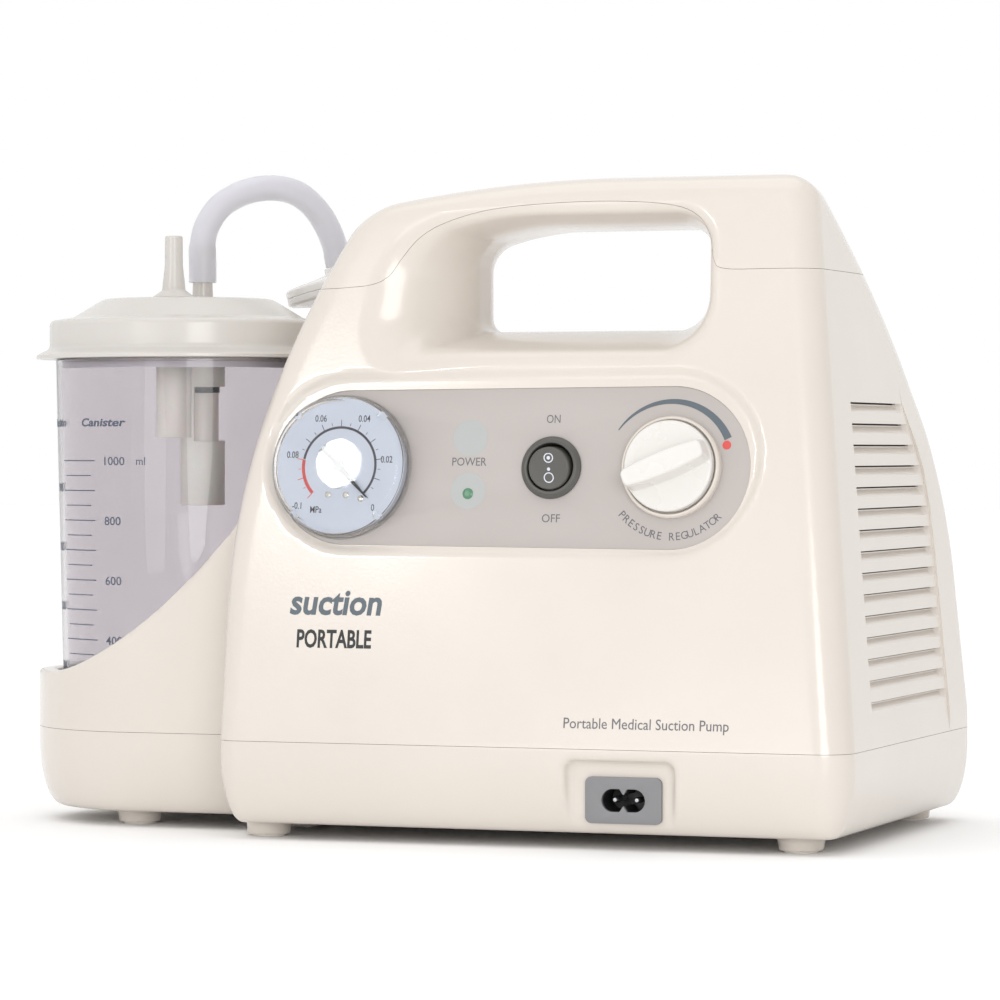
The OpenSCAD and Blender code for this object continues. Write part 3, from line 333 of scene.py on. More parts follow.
def tray_field(x, y, z):
    """The base tray's outside with its feet and the sunk mains inlet."""
    both = round_min(main_field(x, y, z), lobe_field(x, y, z), 5.0)
    both = np.maximum(both, z - SEAM_Z - 4)
    for foot_x, foot_y in FEET:
        foot = np.maximum(np.hypot(x - foot_x, y - foot_y) - FOOT_R, np.abs(z - 7.5) - 6.7)
        both = round_min(both, foot, 1.8)
    ahead = np.maximum(INLET_FACE_Y - y, 0)
    sunk = round_max(np.abs(x - INLET_X) - INLET_HALF - 0.5 * ahead, z - INLET_TOP - 0.3 * ahead, 4.0)
    both = round_max(both, -round_max(sunk, y - INLET_FACE_Y, 1.6), 1.2)
    well = np.maximum(np.hypot(x - CAN_X, y - CAN_Y) - WELL_R, CAN_BASE_Z - 0.02 - z)
    return round_max(both, -well, 0.6)


inlet_low, inlet_high = box_mm("mains_inlet")
INLET_X = (inlet_low.x + inlet_high.x) / 2 - 1.0
INLET_FACE_Y = inlet_low.y + 1.5
INLET_HALF, INLET_TOP = 20.3, 33.0     # the sunk place round the inlet: half its width, and its upper edge
WELL_R = 50.9                          # the canister stands in this
FOOT_R = 8.5
PAD_R = 6.5
pads_low, pads_high = box_mm("foot_pads")
PUMP_FEET = [(x, y) for x in (pads_high.x - PAD_R, -56.0) for y in (pads_low.y + PAD_R, pads_high.y - PAD_R)]
FEET = PUMP_FEET + [(CAN_X - 6, -40), (CAN_X - 6, 28)]

# line of the seam under the top cover, seen from the front
COVER_SEAM = [(-90, 212.3), (-36, 212.5), (-22, 213), (-13, 214), (-7, 217.2), (-2, 224.4), (5, 232.2),
              (15.5, 237.7), (35, 242.4), (62, 244.4), (87, 244.5), (108, 242.6), (118, 238), (122.6, 230),
              (124.6, 221.5), (129.5, 218.2), (150, 218), (200, 218)]


def curve_point(a, b, c, d, t):
    """A point between b and c on the smooth curve through a, b, c and d."""
    return 0.5 * (2 * b + (c - a) * t + (2 * a - 5 * b + 4 * c - d) * t ** 2 + (3 * b - a - 3 * c + d) * t ** 3)


def seam_line(drop):
    """The cover's seam as a smooth line, moved down by drop. Its end stretches stay straight."""
    knots = [np.array(k, float) for k in COVER_SEAM]
    line = [curve_point(*near, t) for near in zip(knots, knots[1:], knots[2:], knots[3:])
            for t in np.arange(0, 1, 0.2)]
    line = [knots[0]] + line + [knots[-1]]
    ahead = np.gradient(np.array(line), axis=0)
    ahead /= np.linalg.norm(ahead, axis=1, keepdims=True)
    return [(p[0] + drop * n[1], p[1] - drop * n[0]) for p, n in zip(line, ahead)]


SEAM_GAP = 0.07      # half the width of a seam


def above_seam(drop):
    return prism(seam_line(drop) + [(200, 300), (-90, 300)], -150, 150, "y")


# line of the seam in front of the rear moulding, seen from the side: (y, z)
REAR_SEAM = [(54, 0), (54, 50), (55, 80), (56, 105), (55.5, 127), (51.5, 142), (45, 151), (37, 160),
             (30.5, 168), (27, 180), (26, 200), (26, 300)]
REAR_PROUD = 0.8     # the rear moulding's side stands out past the front moulding's


def rear_seam_at(z):
    return float(np.interp(z, [p[1] for p in REAR_SEAM], [p[0] for p in REAR_SEAM]))


SLOTS, SLOT_TOP, SLOT_PITCH = 15, 168.2, 8.07
SLOT_FRONT_Y = -45.0
SLIT_H, RAMP_H, RAMP_DEEP = 0.6, 3.7, 2.3


def slot_cuts(i):
    """Cutters for one cooling slot: a slit, and a ramp below it that runs out to the face."""
    top = SLOT_TOP - SLOT_PITCH * i
    y_front, y_rear = SLOT_FRONT_Y - i, rear_seam_at(top) - 1.5
    section = [(-2.0, 0.0), (1.0, 0.0), (1.0, -0.3), (0.0, -1.0), (-2.0, -1.0)]
    along = [(y_front, RAMP_DEEP), (y_rear - 4.5, RAMP_DEEP), (y_rear - 2.0, 0.7 * RAMP_DEEP), (y_rear, 0.05)]
    points = []
    for y, deep in along:
        for depth, drop in section:
            z = top + RAMP_H * drop
            points.append((float(right_x(z)) - depth * (deep if depth > 0 else 1), y, z))
    n = len(section)
    faces = [list(range(n)), list(range(4 * n - 1, 3 * n - 1, -1))]
    faces += [[k * n + j, k * n + (j + 1) % n, (k + 1) * n + (j + 1) % n, (k + 1) * n + j]
              for k in range(3) for j in range(n)]
    ramp_cut = outward(mesh_from("ramp", points, faces))
    x = float(right_x(top))
    slit = block((x - 9, y_front + 0.3, top - SLIT_H), (x - 1, y_rear - 2.4, top - 0.01))
    return ramp_cut, slit


def panel_outline(r, steps=40):
    half_turn = [math.pi * i / steps for i in range(steps + 1)]
    points = [(PANEL_RIGHT + r * math.sin(a), r * math.cos(a)) for a in half_turn]
    return points + [(PANEL_LEFT - (r - 1) * math.sin(a), (1 - r) * math.cos(a)) for a in half_turn]


def on_front(x, v=0.0, out=0.0):
    """Matrix of a frame on the leaning face: x across, y up the face, z out of it. Metres."""
    z = PANEL_MID_Z
    base = Matrix.Translation(Vector((x, float(front_y(np.array(z))), z)) * MM)
    return base @ Matrix.Rotation(math.pi / 2 - LEAN, 4, "X") @ Matrix.Translation(Vector((0, v, out)) * MM)


ROOM_LOW, ROOM_HIGH = (-186, -104), (188, 104)     # x and y of a box round the whole housing
FAR = 300                                          # well outside it


def make_shells(plastic):
    coarse = 1.0
    low, high = (*ROOM_LOW, 30), (*ROOM_HIGH, 259)
    closed = lambda x, y, z: np.maximum(housing_field(x, y, z), 31.5 - z)
    outside = field_mesh("outside", closed, low, high, 1.5 * coarse)
    behind = lambda x, y, z: np.maximum(np.maximum(housing_field(x, y, z, REAR_PROUD), 31.5 - z), 22.0 - y)
    outside_rear = field_mesh("outside_rear", behind, (ROOM_LOW[0], 18, 30), high, 1.5 * coarse)
    inner = lambda x, y, z: np.maximum(housing_field(x, y, z) + WALL, 31.0 - z)
    inside = field_mesh("inside", inner, low, high, 3.0 * coarse)
    under = block((-FAR, -FAR, 0), (FAR, FAR, SEAM_Z + SEAM_GAP))
    shell = boolean(boolean(outside, inside.copy()), under.copy())
    shell_rear = boolean(boolean(outside_rear, inside), under)
    cover = boolean(shell.copy(), above_seam(-SEAM_GAP), "INTERSECT")
    behind_seam = prism(REAR_SEAM + [(FAR, FAR), (FAR, 0)], -FAR, FAR, "x")
    front = boolean(boolean(shell, above_seam(SEAM_GAP)), behind_seam.copy())
    rear = boolean(boolean(shell_rear, above_seam(SEAM_GAP)), behind_seam, "INTERSECT")
    opening = prism(panel_outline(PANEL_R + 0.03), -12, 12)
    opening.transform(on_front(0))
    front = boolean(front, opening)
    for i in range(SLOTS):
        for cut in slot_cuts(i):
            front = boolean(front, cut)
    rear = boolean(rear, prism(disc_outline(PORT_Y, PORT_Z, PORT_R + 0.3, 48), -66, -40, "x"))
    placed("front_moulding", front, plastic, ("front_shell", "canister_cradle"))
    placed("rear_moulding", rear, plastic, ("rear_shell",))
    placed("cover_moulding", cover, plastic, ("top_cover",))
    make_tray(plastic, coarse)


def make_tray(plastic, coarse):
    tray = field_mesh("tray", tray_field, (*ROOM_LOW, -1), (*ROOM_HIGH, SEAM_Z + 6), coarse)
    inner = lambda x, y, z: np.maximum(round_min(main_field(x, y, z), lobe_field(x, y, z), 5.0) + WALL,
                                       WALL + TRAY_Z - 0.5 - z)
    room = field_mesh("room", inner, (*ROOM_LOW, 0), (*ROOM_HIGH, SEAM_Z + 12), 3.0 * coarse)
    wall = prism(disc_outline(CAN_X, CAN_Y, 53.4, 96), 0, 37.5)
    room = boolean(room, wall)
    room = boolean(room, block((INLET_X - 26, -110, 0), (INLET_X + 26, INLET_FACE_Y + WALL, 37)))
    tray = boolean(tray, room)
    tray = boolean(tray, block((-FAR, -FAR, SEAM_Z - SEAM_GAP), (FAR, FAR, 100)))
    mouth = block((inlet_low.x + 3.4, INLET_FACE_Y - 4, inlet_low.z + 2.65),
                  (inlet_high.x - 3.4, -80, inlet_high.z - 2.65))
    tray = boolean(tray, mouth)
    for x, y in FEET:
        tray = boolean(tray, prism(disc_outline(x, y, PAD_R, 48), -2, 3))
    for x in (-36, 146):               # screw holes
        for y in (-84, 84):
            tray = boolean(tray, prism(disc_outline(x, y, 3.4, 32), -2, 12))
    for i in range(6):                 # air slots
        tray = boolean(tray, block((40 + 12 * i, -30, 0), (44 + 12 * i, 40, 12)))
    placed("base_moulding", tray, plastic, ("base_tray",))


# ================= materials =================
def shader(name, **sockets):
    """A material with constants on the shader's own sockets."""
    material = bpy.data.materials.new(name)
    material.use_nodes = True
    surface = material.node_tree.nodes["Principled BSDF"]
    for key, value in sockets.items():
        surface.inputs[key.replace("_", " ")].default_value = value
    return material, material.node_tree, surface


def rgb(*screen):
    """Colour from 0 to 255 as on a screen, to the shader's linear values."""
    linear = [((c / 255 + 0.055) / 1.055) ** 2.4 if c > 10 else c / 255 / 12.92 for c in screen]
    return (*linear, 1.0)


def noise(tree, scale, detail=3.0, roughness=0.5):
    where = tree.nodes.new("ShaderNodeTexCoord")
    texture = tree.nodes.new("ShaderNodeTexNoise")
    texture.inputs["Scale"].default_value = scale
    texture.inputs["Detail"].default_value = detail
    texture.inputs["Roughness"].default_value = roughness
    tree.links.new(where.outputs["Object"], texture.inputs["Vector"])
    return texture.outputs["Fac"]


def ramp(tree, factor, low, high, start=0.3, end=0.7):
    """The factor as a colour from low to high."""
    blend = tree.nodes.new("ShaderNodeValToRGB")
    blend.color_ramp.elements[0].position = start
    blend.color_ramp.elements[1].position = end
    blend.color_ramp.elements[0].color = low
    blend.color_ramp.elements[1].color = high
    tree.links.new(factor, blend.inputs["Fac"])
    return blend.outputs["Color"]


def map_range(tree, factor, low, high):
    node = tree.nodes.new("ShaderNodeMapRange")
    node.inputs["From Min"].default_value = 0.3
    node.inputs["From Max"].default_value = 0.7
    node.inputs["To Min"].default_value = low
    node.inputs["To Max"].default_value = high
    tree.links.new(factor, node.inputs["Value"])
    return node.outputs["Result"]


def bump(tree, surface, height, distance, strength=1.0):
    node = tree.nodes.new("ShaderNodeBump")
    node.inputs["Distance"].default_value = distance
    node.inputs["Strength"].default_value = strength
    tree.links.new(height, node.inputs["Height"])
    tree.links.new(node.outputs["Normal"], surface.inputs["Normal"])


def moulded(name, low, high, rough=(0.2, 0.3), grain=(900.0, 0.00002), **sockets):
    """Moulded plastic: slightly uneven colour and gloss, with a fine skin."""
    material, tree, surface = shader(name, **sockets)
    cloud = noise(tree, 14.0, 4.0)
    tree.links.new(ramp(tree, cloud, low, high), surface.inputs["Base Color"])
    tree.links.new(map_range(tree, noise(tree, 45.0, 5.0), *rough), surface.inputs["Roughness"])
    bump(tree, surface, noise(tree, grain[0], 2.0), grain[1])
    return material


def metal(name, low, high, rough=(0.25, 0.4), grain=(500.0, 0.00001)):
    return moulded(name, low, high, rough, grain, Metallic=1.0)


def see_through(name, low, high, rough=(0.02, 0.06), clear=1.0, ior=1.5):
    return moulded(name, low, high, rough, (260.0, 0.000004), Transmission_Weight=clear, IOR=ior)


# ================= turned, swept and printed shapes, in millimetres =================
def rounded(outline, steps=6):
    """A closed outline of (a, b) or (a, b, radius) points with its corners rounded."""
    points = []
    for i, corner in enumerate(outline):
        here = np.array(corner[:2], float)
        if len(corner) == 2:
            points.append(tuple(here))
            continue
        back = np.array(outline[i - 1][:2]) - here
        ahead = np.array(outline[(i + 1) % len(outline)][:2]) - here
        long_back, long_ahead = np.linalg.norm(back), np.linalg.norm(ahead)
        back, ahead = back / long_back, ahead / long_ahead
        half = math.acos(float(np.clip(back @ ahead, -1, 1))) / 2
        reach = min(corner[2] / math.tan(half), 0.49 * long_back, 0.49 * long_ahead)
        r = reach * math.tan(half)
        centre = here + (back + ahead) / np.linalg.norm(back + ahead) * r / math.sin(half)
        for k in range(steps + 1):
            spoke = (1 - k / steps) * (here + back * reach) + k / steps * (here + ahead * reach) - centre
            points.append(tuple(centre + spoke * r / np.linalg.norm(spoke)))
    return points


def weld(mesh):
    """Joins points that lie on each other and turns the faces outwards."""
    edit = bmesh.new()
    edit.from_mesh(mesh)
    bmesh.ops.remove_doubles(edit, verts=edit.verts, dist=2e-7)
    bmesh.ops.delete(edit, geom=[e for e in edit.edges if not e.link_faces], context="EDGES")
    bmesh.ops.recalc_face_normals(edit, faces=edit.faces)
    edit.to_mesh(mesh)
    edit.free()
    return mesh


def lathe(name, outline, steps=96):
    """Solid of revolution round z: the outline is a closed loop of (r, z) or (r, z, corner radius) points."""
    loop = rounded(outline)
    n = len(loop)
    spokes = [(math.cos(math.tau * k / steps), math.sin(math.tau * k / steps)) for k in range(steps)]
    points = [(r * c, r * s, z) for c, s in spokes for r, z in loop]
    faces = [(k * n + i, k * n + (i + 1) % n, (k + 1) % steps * n + (i + 1) % n, (k + 1) % steps * n + i)
             for k in range(steps) for i in range(n)]
    return weld(mesh_from(name, points, faces))


def moved(mesh, x=0.0, y=0.0, z=0.0):
    mesh.transform(Matrix.Translation(Vector((x, y, z)) * MM))
    return mesh


def smooth_path(knots, per=6):
    """A smooth line through the points."""
    knots = [np.array(k, float) for k in knots]
    knots = [2 * knots[0] - knots[1]] + knots + [2 * knots[-1] - knots[-2]]
    line = []
    for a, b, c, d in zip(knots, knots[1:], knots[2:], knots[3:]):
        line += [curve_point(a, b, c, d, t) for t in np.arange(per) / per]
    return np.array(line + [knots[-2]])


def pipe(name, path, outer, inner, sides=40):
    """Hollow tube along a path, its outer and inner radius given at each point."""
    ahead = np.gradient(path, axis=0)
    ahead /= np.linalg.norm(ahead, axis=1, keepdims=True)
    across = np.cross(ahead[0], (0.3, -1.0, 0.02))
    points = []
    for p, d, r_out, r_in in zip(path, ahead, outer, inner):
        across = across - d * (across @ d)
        across /= np.linalg.norm(across)
        other = np.cross(d, across)
        spokes = [across * math.cos(math.tau * k / sides) + other * math.sin(math.tau * k / sides)
                  for k in range(sides)]
        points += [p + r_out * w for w in spokes] + [p + r_in * w for w in spokes]
    faces = []
    last = (len(path) - 1) * 2 * sides
    for k in range(sides):
        j = (k + 1) % sides
        for i in range(len(path) - 1):
            a = i * 2 * sides
            b = a + 2 * sides
            faces += [(a + k, a + j, b + j, b + k),
                      (a + sides + j, a + sides + k, b + sides + k, b + sides + j)]
        faces += [(k, sides + k, sides + j, j), (last + j, last + sides + j, last + sides + k, last + k)]
    return outward(mesh_from(name, points, faces))


INK = 0.06           # thickness of printing
CAP_SHARE = 0.73     # height of a capital letter as a share of the font's size


def flat(a, b, out):
    return (a, b, out)


def ribbon(line, widths, lay=flat):
    """Printed line: a thin strip along 2D points, put on a surface by lay(a, b, out)."""
    line = np.array(line, float)
    ahead = np.gradient(line, axis=0)
    ahead /= np.linalg.norm(ahead, axis=1, keepdims=True)
    side = np.stack([-ahead[:, 1], ahead[:, 0]], axis=1)
    points = []
    for p, s, width in zip(line, side, np.broadcast_to(widths, len(line))):
        left, right = p + s * width / 2, p - s * width / 2
        points += [lay(*left, 0), lay(*right, 0), lay(*right, INK), lay(*left, INK)]
    faces = [(0, 1, 2, 3), tuple(len(points) - k for k in (1, 2, 3, 4))]
    faces += [(4 * i + k, 4 * i + (k + 1) % 4, 4 * i + 4 + (k + 1) % 4, 4 * i + 4 + k)
              for i in range(len(line) - 1) for k in range(4)]
    return points, faces


def plate(outline, thick=INK, lay=flat):
    """A thin flat shape."""
    n = len(outline)
    points = [lay(a, b, 0) for a, b in outline] + [lay(a, b, thick) for a, b in outline]
    faces = [tuple(range(n)), tuple(range(2 * n - 1, n - 1, -1))]
    faces += [(i, i + n, (i + 1) % n + n, (i + 1) % n) for i in range(n)]
    return points, faces


def arc(r, start, end, steps=48, r_end=None):
    """Points on an arc round the origin, in degrees; the radius may change on the way."""
    share = np.linspace(0, 1, steps + 1)
    turn = np.radians(start + (end - start) * share)
    radius = r + ((r if r_end is None else r_end) - r) * share
    return np.stack([radius * np.cos(turn), radius * np.sin(turn)], axis=1)


def letters(words, height, at=(0, 0), turn=0.0, squeeze=0.85, bold=0.0, slant=0.0, lay=flat, middle=True):
    """Lettering as thin solids, with its middle, or its left end, at a point."""
    font = bpy.data.curves.new("letters", "FONT")
    font.body = words
    font.size = height / CAP_SHARE
    font.offset = bold
    font.resolution_u = 3
    font.extrude = INK / 2
    text = tool(font)
    bpy.context.view_layer.update()
    mesh = bpy.data.meshes.new_from_object(text.evaluated_get(bpy.context.evaluated_depsgraph_get()))
    bpy.data.objects.remove(text)
    points = np.array([v.co for v in mesh.vertices])
    points[:, 0] = (points[:, 0] - (points[:, 0].mean() if not middle else
                                    (points[:, 0].min() + points[:, 0].max()) / 2)) * squeeze
    if not middle:
        points[:, 0] -= points[:, 0].min()
    points[:, 1] -= height / 2
    points[:, 0] += slant * points[:, 1]
    c, s = math.cos(math.radians(turn)), math.sin(math.radians(turn))
    shape = [lay(at[0] + c * a - s * b, at[1] + s * a + c * b, out + INK / 2) for a, b, out in points]
    return shape, [tuple(p.vertices) for p in mesh.polygons]


def printed(name, shapes, material, body="housing", place=None):
    """All the given shapes as one printed piece."""
    points, faces = [], []
    for some_points, some_faces in shapes:
        faces += [tuple(v + len(points) for v in face) for face in some_faces]
        points += list(some_points)
    mesh = weld(mesh_from(name, points, faces))
    if place is not None:
        mesh.transform(place)
    piece = new_object(name, mesh, material, body)
    return piece


def placed(name, mesh, material, replaced, body="housing", slot="housing_plastic", angle=35):
    """A finished mesh as a piece that stands in for CAD nodes."""
    mesh.name = name
    piece = new_object(name, shade(mesh, angle), material, body)
    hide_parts(*replaced)
    return piece


def turned(name, outline, material, replaced, place, steps=96, **kinds):
    """A lathe piece put in its place. The other words are those of placed."""
    mesh = lathe(name, outline, steps)
    mesh.transform(place)
    return placed(name, mesh, material, replaced, **kinds)


# ================= suction hose and filter =================
PORT_OFFSET = 14.5     # the lid's two ports stand this far before and behind its middle
HOSE_ROUTE = [(CAN_X, CAN_Y + PORT_OFFSET, 219), (-121.5, 8.5, 226), (-121.7, 8.8, 234), (-120.5, 10.2, 242),
              (-116.5, 13.5, 250), (-110.5, 18.5, 255.3), (-103.5, 24.5, 258.2), (-96.5, 30.5, 258.6),
              (-90, 36, 256.3), (-85, 40.8, 251), (-81.4, 44.8, 244), (-79, 47.8, 236), (-77.4, 49.8, 227)]
HOSE_R, HOSE_BORE_R = 5.25, 3.4
FILTER_TILT = math.radians(13)
FILTER_DOWN = np.array([math.sin(FILTER_TILT), 0.06, -math.cos(FILTER_TILT)])
FILTER_DOWN /= np.linalg.norm(FILTER_DOWN)
FILTER_LEN = 25.0
STUB_TOP_Z = 234.0
PORT_R, PORT_BORE_R = 5.0, 3.4
PORT_Y, PORT_Z = 50.0, 181.0      # where the port goes through the rear moulding
CAP_OUTLINE = [(2.4, -6.5), (3.9, -6.5, 0.4), (4.1, 0.1), (6.6, 0.1, 0.6), (6.6, 2.4, 1.0), (9.5, 3.3, 1.0),
               (23.2, 5.5, 1.0), (24.5, 6.3, 0.8), (24.5, 9.06, 0.3), (21.5, 9.06), (21.5, 7.4, 1.0),
               (7.0, 4.9, 1.0), (2.4, 4.4)]
CUP_OUTLINE = [(2.4, 25.0), (2.4, 15.6), (7.0, 14.2, 1.0), (21.5, 11.0, 0.6), (21.5, 9.14), (24.5, 9.14, 0.3),
               (24.5, 11.7, 0.8), (23.2, 12.6, 1.0), (8.0, 16.0, 1.5), (4.3, 17.4, 1.0), (3.9, 25.0, 0.4)]


def make_hose(silicone, white):
    path = smooth_path(HOSE_ROUTE)
    along = np.concatenate([[0], np.cumsum(np.linalg.norm(np.diff(path, axis=0), axis=1))])
    on_stub = 1 - smooth_step((along - 13.5) / 3.0)
    on_hub = smooth_step((along - along[-1] + 7.0) / 3.0)
    snug = np.maximum(on_stub, on_hub)
    outer = HOSE_R + 0.4 * snug
    inner = HOSE_BORE_R + 0.72 * snug
    mesh = pipe("hose", path, outer, inner)
    hose = placed("hose", mesh, silicone, ("suction_hose",), "lid", "silicone", 50)
    turn = Vector(FILTER_DOWN).to_track_quat("Z", "Y").to_matrix().to_4x4()
    place = Matrix.Translation(Vector(HOSE_ROUTE[-1]) * MM) @ turn
    cap, cup = (turned(name, outline, white, (node,), place, body="lid", slot="white_plastic")
                for name, outline, node in (("filter_cap", CAP_OUTLINE, "filter_top"),
                                            ("filter_cup", CUP_OUTLINE, "filter_base")))
    end = np.array(HOSE_ROUTE[-1]) + (FILTER_LEN + 0.3) * FILTER_DOWN
    route = [end, end + 5 * FILTER_DOWN, (-69.6, 51.6, 191.5), (-67.5, 51.3, 186.5), (-63.5, 50.6, 182.8),
             (-58, 50.1, 181.2), (-52, PORT_Y, PORT_Z), (-38, PORT_Y, PORT_Z)]
    path = smooth_path(route, 4)
    mesh = pipe("port_elbow", path, np.full(len(path), PORT_R), np.full(len(path), PORT_BORE_R), 32)
    placed("port_elbow", mesh, white, ("suction_port",), slot="white_plastic", angle=50)


# ================= canister and lid =================
AXIS = Matrix.Translation(Vector((CAN_X, CAN_Y, 0)) * MM)
LITRE_Z, MM_PER_ML = 145.7, 0.1198     # height of the 1000 ml mark, and the scale's pitch
TITLE_Z = 161.2


def can_radius(z):
    return CAN_R_LOW + (CAN_R_TOP - CAN_R_LOW) * (z - CAN_BASE_Z) / (CAN_RIM_Z - CAN_BASE_Z)


def round_can(degrees):
    """Puts a shape on the canister's outside: a runs round it from an angle off the front, b is the height."""
    def lay(a, b, out):
        r = can_radius(b)
        turn = math.radians(degrees) + a / r
        return (CAN_X + (r + out) * math.sin(turn), CAN_Y - (r + out) * math.cos(turn), b)
    return lay


def make_canister(clear, ink):
    z0, z1 = CAN_BASE_Z, CAN_RIM_Z
    outline = [(0, z0), (CAN_R_LOW, z0, 3.0), (CAN_R_TOP, z1, 0.7), (CAN_R_TOP - 2, z1, 0.7),
               (CAN_R_LOW - 2, z0 + 2.5, 3.0), (0, z0 + 2.5)]
    jar = turned("jar", outline, clear, ("canister",), AXIS, 144, body="canister", slot="clear_plastic")
    jar.visible_shadow = False     # so that light reaches the tube and the float inside
    lay = round_can(0)
    shapes = []
    for ml in range(50, 1001, 50):
        z = LITRE_Z - (1000 - ml) * MM_PER_ML
        long_tick = ml % 100 == 0
        start, end = (-47, -21) if long_tick else (-44, -23.5)
        reach = [math.radians(d) * can_radius(z) for d in np.linspace(start, end, 9)]
        shapes.append(ribbon([(a, z) for a in reach], 0.42 if long_tick else 0.38, lay))
        if long_tick:
            degrees = -54 if ml % 200 else -11.2 if ml < 1000 else -9.9
            at = (0, z + 1.2 if ml % 200 else z)
            shapes.append(letters(str(ml), 3.5, at, squeeze=1.14, bold=0.03, lay=round_can(degrees)))
    shapes.append(letters("ml", 3.4, (0, LITRE_Z), squeeze=0.95, lay=round_can(3)))
    for words, degrees in (("Suction", -54), ("Canister", -16.5)):
        lay = round_can(degrees)
        shapes.append(letters(words, 3.3, (0, TITLE_Z), squeeze=1.5, bold=0.12, slant=0.25, lay=lay))
    printed("scale_print", shapes, ink, "canister")


def make_lid(white):
    top = box_mm("canister_lid")[1].z
    rim = CAN_RIM_Z + 0.02
    lid = lathe("lid", [(0, 213.0), (34.5, 211.6, 7), (47.2, 203.9, 5), (56.5, 202.5, 2.2), (56.5, 191.2, 2.5),
                        (60.2, 189.4, 2), (61.9, 188.5, 0.5), (61.9, rim, 0.5), (50.0, rim),
                        (50.0, 183.5, 0.5), (48.6, 183.5, 0.5), (48.6, 198.5, 2), (45.5, 201.0, 3),
                        (34.0, 208.6, 3), (0, 210.0)], 128)
    spigot = lathe("spigot", [(0, 208), (8.4, 208), (8.4, 212.4, 0.3), (6.6, 213.6, 1.5), (4.75, 214.9, 1.2),
                              (4.6, 217), (3.7, 225), (3.6, top, 0.8), (0, top)], 48)
    stub = lathe("stub", [(0, 208), (4.6, 208), (4.3, 213.4, 0.3), (4.05, 219), (4.0, STUB_TOP_Z, 0.6),
                          (0, STUB_TOP_Z)], 48)
    for port, y, socket_r in ((spigot, -PORT_OFFSET, 7.3), (stub, PORT_OFFSET, 9.4)):
        socket = lathe("socket", [(0, CAN_RIM_Z), (socket_r, CAN_RIM_Z, 0.4), (socket_r + 0.3, 209.4),
                                  (0, 209.4)], 48)
        lid = boolean(lid, moved(port, y=y), "UNION")
        lid = boolean(lid, moved(socket, y=y), "UNION")
    for y, bore_r in ((-PORT_OFFSET, 2.1), (PORT_OFFSET, 2.6)):
        lid = boolean(lid, prism(disc_outline(0, y, bore_r, 40), 150, 260))
    lid.transform(AXIS)
    placed("lid_cap", lid, white, ("canister_lid",), "lid", "white_plastic")


# ================= gauge =================
LENS_R = 28.0
DIAL_R, DIAL_TOP = 26.2, 2.82
SCALE_R = 14.9
ZERO_AT, SCALE_SPAN = -45.0, 270.0     # degrees, counter-clockwise from the right
RED_FROM = 171.0


